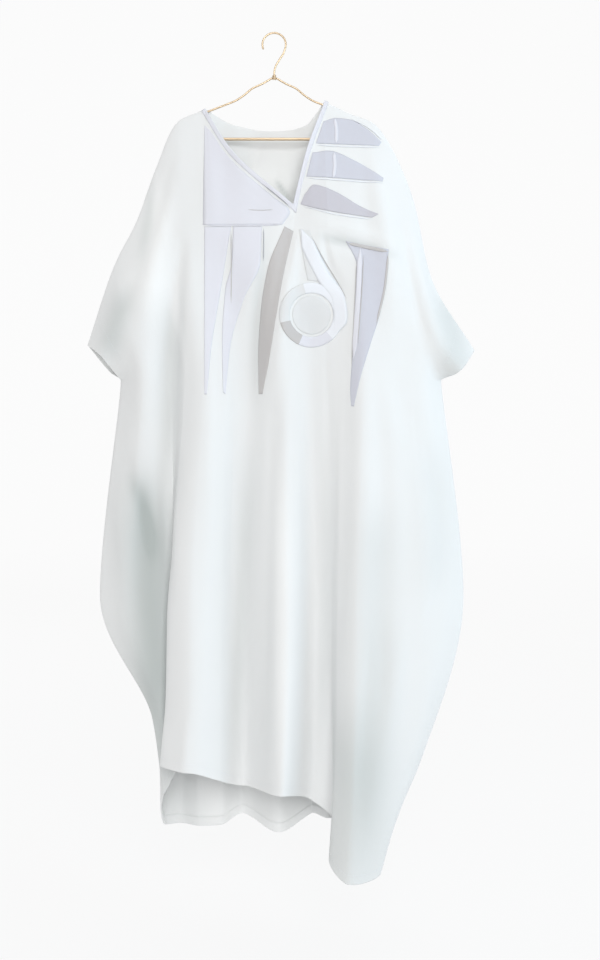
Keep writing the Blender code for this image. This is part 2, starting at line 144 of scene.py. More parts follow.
NeckPoint = namedtuple("NeckPoint", "name x out z")
FRONT_NECK = [
    NeckPoint("slope_left", -0.084, 0.030, -0.246),
    NeckPoint("v_point", 0.039, 0.050, -0.358),
    NeckPoint("slope_right", 0.066, 0.034, -0.245),
]
BACK_NECK = [
    NeckPoint("scoop_left", -0.078, 0.020, -0.184),
    NeckPoint("scoop_middle", -0.004, 0.030, -0.193),
    NeckPoint("scoop_right", 0.062, 0.022, -0.184),
]

UNDERARM_Z, WIDEST_Z, TAPER_Z, MEAN_HEM_Z = -0.709, -1.150, -1.430, -1.600
Fold = namedtuple("Fold", "name x out hem_z")
FRONT_FOLDS = [
    Fold("seam_left", (-0.314, -0.357, -0.249, -0.228), (0.034, 0.008, 0.006, 0.005, 0.005), -1.560),
    Fold("wing_left", (-0.262, -0.290, -0.226, -0.212), (0.054, 0.050, 0.036, 0.024, 0.020), -1.530),
    Fold("tuck_left", (-0.208, -0.203, -0.203, -0.200), (0.052, 0.034, 0.018, 0.020, 0.026), -1.500),
    Fold("edge_left", (-0.176, -0.212, -0.216, -0.227), (0.050, 0.050, 0.052, 0.055, 0.060), -1.480),
    Fold("ridge_left", (-0.140, -0.162, -0.162, -0.165), (0.050, 0.066, 0.086, 0.095, 0.104), -1.482),
    Fold("flank_left", (-0.096, -0.108, -0.108, -0.108), (0.052, 0.056, 0.062, 0.070, 0.076), -1.506),
    Fold("valley_left", (-0.050, -0.058, -0.060, -0.062), (0.056, 0.040, 0.028, 0.020, 0.014), -1.536),
    Fold("ridge_centre", (0.023, 0.026, 0.021, 0.016), (0.062, 0.064, 0.084, 0.092, 0.098), -1.530),
    Fold("valley_right", (0.078, 0.088, 0.084, 0.080), (0.060, 0.046, 0.032, 0.024, 0.018), -1.566),
    Fold("tuck_right", (0.114, 0.114, 0.116, 0.124), (0.058, 0.052, 0.044, 0.040, 0.036), -1.610),
    Fold("edge_right", (0.142, 0.130, 0.120, 0.109), (0.058, 0.062, 0.066, 0.072, 0.080), -1.660),
    Fold("ridge_right", (0.182, 0.166, 0.160, 0.146), (0.058, 0.076, 0.092, 0.106, 0.118), -1.694),
    Fold("flank_right", (0.244, 0.246, 0.222, 0.186), (0.052, 0.062, 0.076, 0.086, 0.096), -1.698),
    Fold("wing_right", (0.302, 0.334, 0.276, 0.214), (0.050, 0.042, 0.048, 0.054, 0.060), -1.690),
    Fold("seam_right", (0.342, 0.388, 0.306, 0.214), (0.034, 0.008, 0.006, 0.005, 0.005), -1.670),
]
BACK_FOLDS = [
    Fold("seam_left", (-0.314, -0.357, -0.249, -0.228), (0.034, 0.008, 0.006, 0.005, 0.005), -1.560),
    Fold("wing_left", (-0.284, -0.312, -0.238, -0.237), (0.044, 0.044, 0.038, 0.034, 0.024), -1.600),
    Fold("edge_left", (-0.246, -0.258, -0.224, -0.232), (0.046, 0.052, 0.058, 0.058, 0.050), -1.638),
    Fold("ridge_left", (-0.204, -0.196, -0.196, -0.200), (0.044, 0.052, 0.070, 0.074, 0.070), -1.642),
    Fold("valley_left", (-0.158, -0.146, -0.150, -0.156), (0.042, 0.040, 0.042, 0.044, 0.050), -1.640),
    Fold("trough_left", (-0.112, -0.104, -0.110, -0.114), (0.040, 0.036, 0.036, 0.040, 0.046), -1.638),
    Fold("ridge_inner", (-0.056, -0.060, -0.066, -0.070), (0.042, 0.052, 0.072, 0.084, 0.096), -1.630),
    Fold("valley_centre", (0.006, 0.006, 0.008, 0.010), (0.042, 0.036, 0.032, 0.030, 0.028), -1.646),
    Fold("ridge_middle", (0.066, 0.070, 0.074, 0.077), (0.042, 0.048, 0.068, 0.084, 0.096), -1.630),
    Fold("valley_right", (0.126, 0.118, 0.112, 0.112), (0.042, 0.040, 0.038, 0.038, 0.042), -1.622),
    Fold("ridge_right", (0.180, 0.168, 0.158, 0.150), (0.044, 0.050, 0.068, 0.080, 0.088), -1.640),
    Fold("flank_right", (0.236, 0.232, 0.206, 0.180), (0.048, 0.054, 0.070, 0.078, 0.080), -1.656),
    Fold("wing_right", (0.278, 0.298, 0.248, 0.202), (0.050, 0.046, 0.052, 0.054, 0.054), -1.664),
    Fold("sleeve_right", (0.312, 0.352, 0.284, 0.212), (0.048, 0.030, 0.030, 0.032, 0.032), -1.668),
    Fold("seam_right", (0.342, 0.388, 0.306, 0.214), (0.034, 0.008, 0.006, 0.005, 0.005), -1.670),
]
print("folds:", len(FRONT_FOLDS), "in front and", len(BACK_FOLDS), "behind")

# %% [markdown]
# ## The panels' surfaces
# Each panel is a loft: one parameter runs across the cloth from fold to fold, the other runs down it from
# the top edge to the hem. A cloth simulation would find folds of its own, so this robe's folds are given
# in tables. Near the hem the rows are set by their distance from it, so that the turned hem and its stitches
# are even.

# %% Panel grid
COLUMNS_A_FOLD = 18
ROWS_DOWN = (34, 36, 36, 22, 10)
TOP_ROWS = 4
UNDERARM_ROW = TOP_ROWS + ROWS_DOWN[0] + ROWS_DOWN[1]
HEM_DISTANCES = np.array([0.034, 0.027, 0.0215, 0.0192, 0.018, 0.0168, 0.0145, 0.010, 0.005, 0.0015, 0.0])
SEAM_TURN = 0.0048
SIDE_COLUMNS = 5
TURN_COLUMNS = SIDE_COLUMNS + 6
CUFF_FADE_ROWS = 22
NECK_POINT_DIP, NECK_ROLL, SLEEVE_FOLDS = 0.004, 0.012, 0.6
NECK_FIRST, NECK_LAST, LAST_FOLD = 5, 9, 14
PLACE = np.arange(LAST_FOLD * COLUMNS_A_FOLD + 1) / COLUMNS_A_FOLD
ON_NECK = (PLACE > NECK_FIRST) & (PLACE < NECK_LAST)
FROM_NECK_POINT = np.minimum(abs(PLACE - NECK_FIRST), abs(PLACE - NECK_LAST))
FOLDS_IN = np.minimum(PLACE, LAST_FOLD - PLACE)


def top_edge(neck, v_neck):
    """The panel's upper edge: sleeve and shoulder, then the neck's cut, then shoulder and sleeve."""
    left = np.array([(p.x, 0.0, p.z) for p in LEFT_TOP])
    right = np.array([(p.x, 0.0, p.z) for p in RIGHT_TOP])
    start, end = left[-1:] + [0, SEAM_TURN, 0], right[:1] + [0, SEAM_TURN, 0]
    cut = np.array([(p.x, p.out, p.z) for p in neck])
    runs = [(left, 0, NECK_FIRST), (right, NECK_LAST, LAST_FOLD)]
    if v_neck:
        middle = (NECK_FIRST + NECK_LAST) / 2
        runs += [(np.concatenate([start, cut[:2]]), NECK_FIRST, middle)]
        runs += [(np.concatenate([cut[1:], end]), middle, NECK_LAST)]
    else:
        runs += [(np.concatenate([start, cut, end]), NECK_FIRST, NECK_LAST)]
    edge = np.zeros((len(PLACE), 3))
    for points, first, last in runs[2:] + runs[:2]:
        here = (PLACE >= first) & (PLACE <= last)
        edge[here] = smooth(points, (PLACE[here] - first) / (last - first) * (len(points) - 1))
    return edge


def sections(folds):
    """Points on the underarm, widest, taper and hem lines at each column, and the depth at the chest."""
    levels = (UNDERARM_Z, WIDEST_Z, TAPER_Z)
    net = np.array([list(zip(f.x, f.out[1:], (*levels, f.hem_z))) for f in folds])
    net[:, 2, 2] += (net[:, 3, 2] - MEAN_HEM_Z) * (TAPER_Z - WIDEST_Z) / (MEAN_HEM_Z - WIDEST_Z)
    places = knot_places(net[:, 1])[:, None]
    chest = np.array([[[f.out[0]]] for f in folds])
    return smooth(net, PLACE, places), smooth(chest, PLACE, places)[:, 0, 0]


def panel_grid(folds, neck, v_neck, cuff_drops):
    """Rows run down the cloth through six knots, columns run across it. Each point is (x, out, z)."""
    edge = top_edge(neck, v_neck)
    lines, chest = sections(folds)
    middle = (edge + lines[:, 0]) / 2
    middle[:, 1] = chest
    middle[:, 2] -= np.where(PLACE < LAST_FOLD / 2, *cuff_drops) * np.clip(1 - FOLDS_IN / 2, 0, 1)
    toward = middle - edge
    toward /= np.linalg.norm(toward, axis=1, keepdims=True)
    turned = edge * [1, 0, 1] + [0, SEAM_TURN, 0]
    turned[:, 2] -= NECK_POINT_DIP * np.clip(1 - 3 * FROM_NECK_POINT, 0, 1)
    below = edge + toward * NECK_ROLL * np.clip(FROM_NECK_POINT, 0.25, 1)[:, None]
    second = np.where(ON_NECK[:, None], below, turned)
    knots = np.concatenate([second[None], middle[None], np.moveaxis(lines, 1, 0)])
    places = knot_places(knots)
    body = knot_slopes(places, knots)
    sleeve = knot_slopes(places[:3], knots[:3])
    inside = np.clip(FOLDS_IN / SLEEVE_FOLDS, 0, 1)[:, None]
    above = body.copy()
    above[2] = body[2] * inside + sleeve[2] * (1 - inside)
    rows = [edge + (second - edge) * row / TOP_ROWS for row in range(TOP_ROWS)] + [second]
    for k, steps in enumerate(ROWS_DOWN):
        slopes = above if k < 2 else body
        shares = np.tile((np.arange(1, steps + 1) / steps)[:, None, None], (1, len(PLACE), 1))
        if k == len(ROWS_DOWN) - 1:
            reach = np.linalg.norm(knots[-1] - knots[-2], axis=1)[:, None]
            near_hem = 1 - HEM_DISTANCES[:, None, None] / reach
            upper = near_hem[:1] * (np.arange(1, steps + 1) / (steps + 1))[:, None, None]
            shares = np.concatenate([upper, near_hem])
        gap = places[k + 1] - places[k]
        rows += list(blend_knots(gap, knots[k], knots[k + 1], slopes[k], slopes[k + 1], shares))
    return np.array(rows)


def with_sides(grid):
    """A few more columns at each side close the seam below the underarm and end the cuff above it."""
    strips = []
    above = np.clip((UNDERARM_ROW - np.arange(UNDERARM_ROW)) / CUFF_FADE_ROWS, 0, 1)[:, None]
    for last, inner in ((0, 1), (-1, -2)):
        side = grid[:, last].copy()
        side[UNDERARM_ROW:, 1] = 0.0
        outward = grid[:UNDERARM_ROW, last] - grid[:UNDERARM_ROW, inner]
        outward /= np.linalg.norm(outward, axis=1, keepdims=True)
        side[:UNDERARM_ROW] += outward * SEAM_TURN * above
        shares = np.arange(1, SIDE_COLUMNS + 1)[None, :, None] / SIDE_COLUMNS
        strips.append(grid[:, [last]] + (side - grid[:, last])[:, None] * shares)
    return np.concatenate([strips[0][:, ::-1], grid, strips[1]], axis=1)


def rounded_seams(grid, passes=10):
    """Points beside the seams move to their neighbours' mean, so the cloth turns over them in a round."""
    grid = grid.copy()
    free = ~np.pad(ON_NECK, SIDE_COLUMNS)
    for _ in range(passes):
        grid[1:9, free] = ((grid[:8] + 2 * grid[1:9] + grid[2:10]) / 4)[:, free]
        for columns in (slice(1, TURN_COLUMNS), slice(-TURN_COLUMNS, -1)):
            before, after = [np.roll(grid, step, axis=1)[UNDERARM_ROW:, columns] for step in (1, -1)]
            part = grid[UNDERARM_ROW:, columns]
            grid[UNDERARM_ROW:, columns] = (before + 2 * part + after) / 4
    return grid


FRONT_CUFF_DROPS, BACK_CUFF_DROPS = (-0.014, 0.010), (0.008, -0.006)
front_net = panel_grid(FRONT_FOLDS, FRONT_NECK, True, FRONT_CUFF_DROPS)
back_net = panel_grid(BACK_FOLDS, BACK_NECK, False, BACK_CUFF_DROPS)
front_grid = rounded_seams(with_sides(front_net)) * [1, -1, 1]
back_grid = rounded_seams(with_sides(back_net))
print("panel grid:", front_grid.shape[:2], "points, front x from", front_grid[..., 0].min().round(3),
      "to", front_grid[..., 0].max().round(3))

# %% [markdown]
# ## Creases
# A hung cloth has smaller creases between its large folds: pulls that fan out from the hanger's ends and
# the neck, and long soft troughs down the skirt. Each is a line in a table with a width and a height. The
# cloth moves along its normal by a bell curve of the distance from the line, which fades at the line's
# ends. A hollow on both sides of a ridge keeps it from looking like a cord under the cloth.

# %% Creases
Crease = namedtuple("Crease", "line width height")
LINE_POINTS = 9
WAVES, WAVE_HEIGHT = 10, 0.0012
FADE_ROWS, FADE_COLUMNS, NECK_FADE_FOLDS = 28, SIDE_COLUMNS + 22, 0.8


def near_line(flat, points):
    """Distance from each place to the nearest step of a smooth line, and how far along the line that is."""
    line = smooth(points, np.linspace(0, len(points) - 1, LINE_POINTS))
    start, step = line[:-1], np.diff(line, axis=0)
    reach = np.clip(((flat[..., None, :] - start) * step).sum(-1) / (step**2).sum(-1), 0, 1)
    away = np.linalg.norm(flat[..., None, :] - start - reach[..., None] * step, axis=-1)
    nearest = away.argmin(-1)[..., None]
    distance, part = [np.take_along_axis(values, nearest, -1)[..., 0] for values in (away, reach)]
    return distance, (nearest[..., 0] + part) / len(step)


def crease_heights(grid, creases):
    """Sum of height times a bell of distance over width, less a wider shallow bell, faded at the ends."""
    total = np.zeros(grid.shape[:2])
    for crease in creases:
        distance, along = near_line(grid[..., [0, 2]], crease.line)
        width = crease.width * (0.7 + 0.6 * along)
        bell = np.exp(-(distance / width)**2) - 0.3 * np.exp(-(distance / (2.2 * width))**2)
        total += crease.height * bell * np.sin(np.pi * np.clip(0.08 + 0.86 * along, 0, 1))
    return total


def soft_waves(grid, seed):
    """A sum of sine waves with long upright crests, for the small unevenness of a washed cotton."""
    chance = np.random.default_rng(seed)
    total = np.zeros(grid.shape[:2])
    for _ in range(WAVES):
        across, down = chance.uniform(18, 95), chance.uniform(-9, 9)
        phase = chance.uniform(0, 2 * np.pi)
        total += np.sin(across * grid[..., 0] + down * grid[..., 2] + phase) / WAVES**0.5
    return total * WAVE_HEIGHT


def normals_of(grid, facing):
    """The cross product of the steps down and across, turned to the side that the panel faces."""
    crossed = np.cross(np.gradient(grid, axis=0), np.gradient(grid, axis=1)) * -facing
    return crossed / np.maximum(np.linalg.norm(crossed, axis=-1, keepdims=True), 1e-12)


def smooth_step(share):
    """0 at 0 and 1 at 1, level at both: three squares of the share less two cubes."""
    return share**2 * (3 - 2 * share)


def seam_fade(grid):
    """Nothing moves at the shoulder and side seams. The fade is a smooth step over a few rows or columns."""
    rows, columns = grid.shape[:2]
    down = np.clip(np.arange(rows) / FADE_ROWS, 0, 1)[:, None] * np.ones(columns)
    along_neck = np.clip(np.pad(FROM_NECK_POINT, SIDE_COLUMNS) / NECK_FADE_FOLDS, 0, 1)
    down = np.where(np.pad(ON_NECK, SIDE_COLUMNS), np.maximum(down, along_neck), down)
    column = np.arange(columns)
    inward = np.clip(np.minimum(column, columns - 1 - column) / FADE_COLUMNS, 0, 1)
    return smooth_step(down * inward)


FRONT_CREASES = [
    Crease([(-0.208, -0.330), (-0.240, -0.480), (-0.262, -0.660)], 0.024, 0.009),
    Crease([(-0.184, -0.440), (-0.200, -0.600), (-0.212, -0.800)], 0.018, -0.012),
    Crease([(-0.270, -0.480), (-0.304, -0.560), (-0.334, -0.650)], 0.022, -0.004),
    Crease([(-0.200, -0.240), (-0.232, -0.340), (-0.262, -0.450)], 0.012, -0.004),
    Crease([(-0.225, -0.900), (-0.218, -1.000), (-0.212, -1.150)], 0.014, -0.007),
    Crease([(-0.268, -0.930), (-0.262, -1.020), (-0.255, -1.120)], 0.012, -0.006),
    Crease([(-0.300, -0.800), (-0.318, -0.960), (-0.300, -1.160)], 0.022, 0.006),
    Crease([(-0.130, -0.600), (-0.128, -0.900), (-0.140, -1.400)], 0.018, 0.004),
    Crease([(-0.085, -0.700), (-0.082, -1.000), (-0.088, -1.480)], 0.016, -0.004),
    Crease([(0.000, -0.760), (-0.012, -1.100), (-0.020, -1.500)], 0.012, -0.003),
    Crease([(0.050, -0.780), (0.052, -1.100), (0.050, -1.500)], 0.014, 0.003),
    Crease([(0.198, -0.250), (0.225, -0.420), (0.245, -0.640)], 0.022, 0.008),
    Crease([(0.262, -0.400), (0.284, -0.520), (0.318, -0.680)], 0.016, -0.009),
    Crease([(0.236, -0.700), (0.296, -0.860), (0.340, -1.040)], 0.030, -0.005),
    Crease([(0.330, -0.760), (0.352, -0.900), (0.356, -1.060)], 0.022, 0.004),
    Crease([(-0.330, -0.780), (-0.296, -0.900), (-0.262, -1.020)], 0.020, -0.005),
    Crease([(-0.344, -0.900), (-0.318, -1.000), (-0.292, -1.120)], 0.018, 0.004),
    Crease([(-0.290, -1.300), (-0.262, -1.390), (-0.238, -1.480)], 0.016, -0.005),
    Crease([(-0.170, -1.380), (-0.176, -1.470), (-0.178, -1.540)], 0.012, 0.003),
    Crease([(0.230, -1.250), (0.212, -1.380), (0.190, -1.520)], 0.020, -0.005),
    Crease([(0.262, -1.180), (0.240, -1.320), (0.214, -1.480)], 0.018, 0.004),
    Crease([(0.262, -0.420), (0.310, -0.540), (0.352, -0.640)], 0.020, 0.006),
    Crease([(0.205, -0.700), (0.215, -0.950), (0.205, -1.300)], 0.024, -0.005),
    Crease([(0.275, -0.760), (0.300, -1.000), (0.270, -1.280)], 0.026, 0.005),
    Crease([(0.330, -0.880), (0.345, -1.050), (0.310, -1.250)], 0.020, -0.004),
    Crease([(0.190, -1.250), (0.178, -1.420), (0.165, -1.640)], 0.016, -0.005),
    Crease([(0.240, -1.180), (0.222, -1.340), (0.196, -1.560)], 0.018, 0.005),
    Crease([(0.105, -0.640), (0.112, -0.900), (0.108, -1.250)], 0.012, -0.004),
    Crease([(0.092, -0.404), (0.150, -0.412), (0.238, -0.436)], 0.011, 0.006),
    Crease([(0.110, -0.438), (0.160, -0.444), (0.235, -0.462)], 0.011, -0.005),
    Crease([(0.100, -0.425), (0.112, -0.480), (0.142, -0.540)], 0.009, -0.005),
    Crease([(-0.010, -0.470), (-0.034, -0.590), (-0.042, -0.760)], 0.016, -0.010),
    Crease([(0.048, -0.420), (0.022, -0.560), (0.000, -0.750)], 0.016, 0.010),
]
BACK_CREASES = [
    Crease([(-0.170, -0.230), (-0.060, -0.290), (0.010, -0.310)], 0.018, -0.006),
    Crease([(0.170, -0.230), (0.070, -0.300), (0.020, -0.320)], 0.018, -0.006),
    Crease([(-0.200, -0.280), (-0.236, -0.460), (-0.270, -0.640)], 0.024, 0.009),
    Crease([(-0.160, -0.300), (-0.180, -0.500), (-0.196, -0.740)], 0.022, -0.009),
    Crease([(0.200, -0.280), (0.238, -0.460), (0.280, -0.640)], 0.024, 0.009),
    Crease([(0.160, -0.300), (0.186, -0.500), (0.206, -0.740)], 0.022, -0.009),
    Crease([(-0.250, -0.380), (-0.292, -0.520), (-0.330, -0.640)], 0.018, -0.006),
    Crease([(0.250, -0.380), (0.300, -0.520), (0.350, -0.640)], 0.018, -0.006),
    Crease([(0.004, -0.250), (0.006, -0.420), (0.002, -0.640)], 0.016, 0.005),
    Crease([(-0.040, -0.230), (-0.044, -0.280), (-0.040, -0.340)], 0.010, -0.005),
    Crease([(-0.020, -0.700), (-0.030, -1.000), (-0.026, -1.480)], 0.016, -0.005),
    Crease([(0.040, -0.660), (0.036, -0.980), (0.040, -1.500)], 0.016, 0.005),
    Crease([(-0.100, -0.760), (-0.090, -1.060), (-0.094, -1.520)], 0.018, 0.004),
    Crease([(0.104, -0.720), (0.098, -1.060), (0.094, -1.500)], 0.016, -0.005),
    Crease([(-0.226, -0.800), (-0.240, -1.050), (-0.216, -1.400)], 0.022, -0.006),
    Crease([(-0.290, -0.820), (-0.312, -1.000), (-0.280, -1.220)], 0.020, 0.006),
    Crease([(0.216, -0.780), (0.226, -1.060), (0.196, -1.420)], 0.022, -0.006),
    Crease([(0.290, -0.840), (0.320, -1.040), (0.280, -1.300)], 0.024, 0.006),
]


def creased(grid, facing, creases, seed):
    """The grid moved along its normals by its creases and waves, times the fade at the seams."""
    heights = (crease_heights(grid, creases) + soft_waves(grid, seed)) * seam_fade(grid)
    return grid + normals_of(grid, facing) * heights[..., None]


front_cloth = creased(front_grid, -1, FRONT_CREASES, 4)
back_cloth = creased(back_grid, 1, BACK_CREASES, 9)
print("creases move the front by up to", np.abs(front_cloth - front_grid).max().round(4), "m")

# %% [markdown]
# ## Painted shade and painted light on the cloth
# Masks paint shade and light into the cloth's colour. Painted shade mixes it toward a cool grey in the deep
# folds and valleys, on the sleeves, under the flap and on the back's inner side by the V and the hem.
# Painted light is a faint emission on the central ridge, on the left sleeve and on the back's inner side by
# the neck, hem and cuff. Masks hold this, from tables of soft patches: a line, a width, a strength and the
# folds between which the patch lies. The back's inner side has masks of its own, with painted light where
# light would reach it through the neck and hem. An ambient occlusion node would darken every hollow alike,
# on both sides.

# %% Painted shade and painted light
Patch = namedtuple("Patch", "line width strength first last")
END_FADE, FOLD_FADE = 0.35, 0.4
# Painted shade on the front: its deep folds and valleys, the sleeves, and under the flap.
FRONT_SHADE = [
    Patch([(-0.264, -0.830), (-0.250, -1.150), (-0.224, -1.660)], 0.048, 0.85, -1, 2.95),
    Patch([(-0.296, -0.880), (-0.268, -0.960), (-0.240, -1.080)], 0.014, 0.35, -1, 2.95),
    Patch([(-0.262, -0.880), (-0.254, -0.980), (-0.238, -1.120)], 0.014, 0.22, -1, 2.95),
    Patch([(-0.203, -0.500), (-0.207, -0.700), (-0.222, -0.960)], 0.018, 0.35, -1, 2.95),
    Patch([(-0.290, -0.500), (-0.318, -0.600), (-0.344, -0.690)], 0.026, 0.50, -1, 2.95),
    Patch([(-0.232, -0.220), (-0.252, -0.360), (-0.276, -0.500)], 0.014, 0.35, -1, 2.95),
    Patch([(-0.048, -0.780), (-0.064, -1.150), (-0.080, -1.600)], 0.018, 0.30, 4, 8),
    Patch([(0.108, -0.760), (0.106, -1.150), (0.078, -1.560)], 0.016, 0.14, 7, 11),
    Patch([(0.214, -0.900), (0.200, -1.120), (0.196, -1.340)], 0.044, 0.22, 10, 15),
    Patch([(0.224, -1.160), (0.190, -1.420), (0.180, -1.680)], 0.044, 0.32, 10, 15),
    Patch([(0.160, -1.300), (0.150, -1.560), (0.154, -1.800)], 0.080, 0.36, 9, 15),
    Patch([(0.300, -0.780), (0.330, -1.000), (0.320, -1.200)], 0.040, 0.16, 10, 15),
    Patch([(-0.010, -0.380), (-0.034, -0.590), (-0.040, -0.800)], 0.012, 0.30, 4, 9),
    Patch([(0.070, -0.420), (0.160, -0.438), (0.270, -0.470)], 0.008, 0.45, 8, 13),
    Patch([(0.340, -0.500), (0.364, -0.620), (0.380, -0.760)], 0.034, 0.40, 10, 15),
]
# Painted shadow of the front's V edge on the back's inner side, and painted shade on the hem's inner side.
INSIDE_SHADE = [
    Patch([(-0.004, -0.286), (0.020, -0.318), (0.040, -0.352)], 0.005, 0.75, -1, 15),
    Patch([(-0.280, -1.550), (-0.200, -1.600), (-0.120, -1.640)], 0.050, 0.16, -1, 15),
    Patch([(-0.020, -1.580), (0.040, -1.600), (0.120, -1.620)], 0.040, 0.06, -1, 15),
]
# Painted shade in the back's long folds.
BACK_SHADE = [
    Patch([(-0.150, -0.760), (-0.148, -1.150), (-0.154, -1.580)], 0.024, 0.35, -1, 15),
    Patch([(0.008, -0.780), (0.008, -1.150), (0.010, -1.600)], 0.018, 0.35, -1, 15),
    Patch([(0.118, -0.760), (0.112, -1.150), (0.112, -1.580)], 0.018, 0.35, -1, 15),
    Patch([(-0.290, -0.900), (-0.270, -1.200), (-0.240, -1.500)], 0.040, 0.35, -1, 15),
    Patch([(0.300, -0.900), (0.280, -1.200), (0.230, -1.520)], 0.040, 0.30, -1, 15),
]
# Painted light on the front: a faint emission on the central ridge and on the left sleeve.
FRONT_PAINTED_LIGHT = [
    Patch([(0.020, -0.800), (0.018, -1.150), (0.012, -1.600)], 0.016, 0.20, 5, 9),
    Patch([(-0.246, -0.260), (-0.236, -0.450), (-0.246, -0.640)], 0.034, 0.18, -1, 4),
]
# Painted light on the back's inner side: by the neck, the V, the hem and the left cuff.
INSIDE_PAINTED_LIGHT = [
    Patch([(-0.260, -0.150), (0.000, -0.230), (0.240, -0.160)], 0.080, 0.16, -1, 15),
    Patch([(-0.030, -0.200), (0.012, -0.330), (0.036, -0.480)], 0.070, 0.34, -1, 15),
    Patch([(-0.260, -1.570), (-0.060, -1.620), (0.160, -1.640)], 0.060, 0.16, -1, 15),
    Patch([(-0.320, -0.560), (-0.350, -0.640), (-0.372, -0.740)], 0.040, 0.60, -1, 15),
]


def patches_on(grid, patches):
    """Sum of strength times a bell of distance over width, faded at the line's ends and past its folds."""
    place = np.pad(PLACE, SIDE_COLUMNS, mode="edge")
    total = np.zeros(grid.shape[:2])
    for patch in patches:
        distance, along = near_line(grid[..., [0, 2]], patch.line)
        ends = np.clip(np.minimum(along, 1 - along) / END_FADE, 0, 1)
        window = np.clip([(place - patch.first) / FOLD_FADE, (patch.last - place) / FOLD_FADE], 0, 1).prod(0)
        total += patch.strength * np.exp(-(distance / patch.width)**2) * window * smooth_step(ends)
    return total


print("shade patches:", len(FRONT_SHADE) + len(BACK_SHADE) + len(INSIDE_SHADE))
print("glow patches:", len(FRONT_PAINTED_LIGHT) + len(INSIDE_PAINTED_LIGHT))

# %% [markdown]
# ## From grids to meshes
# A grid becomes a mesh with one face for each cell. The UV map is in metres along the cloth, so a weave
# keeps its scale wherever the cloth goes. Solidify gives the cloth its wall, and a vertex group makes it
# double at a hem.

# %% Mesh of a grid
def lengths_along(grid, axis):
    """Distance along each row or column: the running sum of the steps between its points."""
    steps = np.linalg.norm(np.diff(grid, axis=axis), axis=-1)
    start = np.zeros_like(np.take(steps, [0], axis=axis))
    return np.concatenate([start, np.cumsum(steps, axis=axis)], axis=axis)


def cloth_map(grid):
    """UV in metres: u is the distance across from the middle column, v the distance down from the top."""
    across = lengths_along(grid, 1)
    across = across - across[:, [grid.shape[1] // 2]]
    return np.stack([across, -lengths_along(grid, 0)], axis=-1)


def grid_piece(name, grid, uv, facing=-1, closed=False, pole=False):
    """One quad for each cell, one more column where the rows close, and one face over a pole's ring."""
    rows, columns = grid.shape[:2]
    index = np.arange(rows * columns).reshape(rows, columns)
    if closed:
        index = np.concatenate([index, index[:, :1]], axis=1)
        uv = np.concatenate([uv, uv[:, -1:] * 2 - uv[:, -2:-1]], axis=1)
    corner = [index[:-1, :-1], index[1:, :-1], index[1:, 1:], index[:-1, 1:]]
    corner_uv = [uv[:-1, :-1], uv[1:, :-1], uv[1:, 1:], uv[:-1, 1:]]
    if facing > 0:
        corner, corner_uv = corner[::-1], corner_uv[::-1]
    faces = np.stack(corner, axis=-1).reshape(-1, 4).tolist()
    places = np.stack(corner_uv, axis=-2).reshape(-1, 2)
    if pole:
        ring = index[0, :columns][::-1] if facing > 0 else index[0, :columns]
        faces.append(ring.tolist())
        places = np.concatenate([places, uv[0, ring]])
    mesh = bpy.data.meshes.new(name)
    mesh.from_pydata(grid.reshape(-1, 3), [], faces)
    layer = mesh.uv_layers.new(name="cloth")
    layer.data.foreach_set("uv", places.reshape(-1).astype(np.float32))
    mesh.shade_smooth()
    piece = bpy.data.objects.new(name, mesh)
    bpy.context.scene.collection.objects.link(piece)
    return piece


def add_wall(piece, thickness):
    """A Solidify modifier whose wall grows inward from the mesh, which is the outer side."""
    wall = piece.modifiers.new("wall", "SOLIDIFY")
    wall.thickness = thickness
    wall.offset = -1.0
    return wall


def triangles_of(piece):
    """Triangles in the piece with its modifiers on."""
    shown = piece.evaluated_get(bpy.context.evaluated_depsgraph_get())
    shown.data.calc_loop_triangles()
    return len(shown.data.loop_triangles)


# %% [markdown]
# ## Cloth and thread materials
# The robe is plain white cotton with a dry, soft surface, and its embroidery is a soft satin stitch. Three
# effects are node groups: a plain weave, the close rows of satin stitch, and painted shade and painted
# light on the cloth. The first two read the UV map in metres, so that a thread is as wide on a sleeve as on
# the hem.

# %% Node tools
COLOUR, NUMBER = "NodeSocketColor", "NodeSocketFloat"


def new_group(name, inputs, outputs):
    """A shader node group with named inputs (name, kind, value) and named outputs (name, kind)."""
    group = bpy.data.node_groups.new(name, "ShaderNodeTree")
    for title, kind, value in inputs:
        socket = group.interface.new_socket(title, in_out="INPUT", socket_type=kind)
        socket.default_value = value
    for title, kind in outputs:
        group.interface.new_socket(title, in_out="OUTPUT", socket_type=kind)
    return group, group.nodes.new("NodeGroupInput"), group.nodes.new("NodeGroupOutput")


def new_material(name):
    """A material with nodes, its node tree and its Principled shader."""
    made = bpy.data.materials.new(name)
    made.use_nodes = True
    return made, made.node_tree, made.node_tree.nodes["Principled BSDF"]


def fill(tree, socket, value):
    """Links a socket to another node's socket, or gives it a value of its own."""
    if isinstance(value, bpy.types.NodeSocket):
        tree.links.new(value, socket)
    else:
        socket.default_value = value


def calculate(tree, operation, *values):
    """A Math node with this operation on one or two values or sockets. It returns the result's socket."""
    node = tree.nodes.new("ShaderNodeMath")
    node.operation = operation
    for socket, value in zip(node.inputs, values):
        fill(tree, socket, value)
    return node.outputs[0]


def scaled(tree, value, factor, base):
    """A value times a factor, plus a base."""
    return calculate(tree, "ADD", calculate(tree, "MULTIPLY", value, factor), base)


def mix_colours(tree, share, first, second):
    """A Mix node for colours. It returns the result's socket."""
    node = tree.nodes.new("ShaderNodeMix")
    node.data_type = "RGBA"
    for socket, value in ((node.inputs[0], share), (node.inputs[6], first), (node.inputs[7], second)):
        fill(tree, socket, value)
    return node.outputs[2]


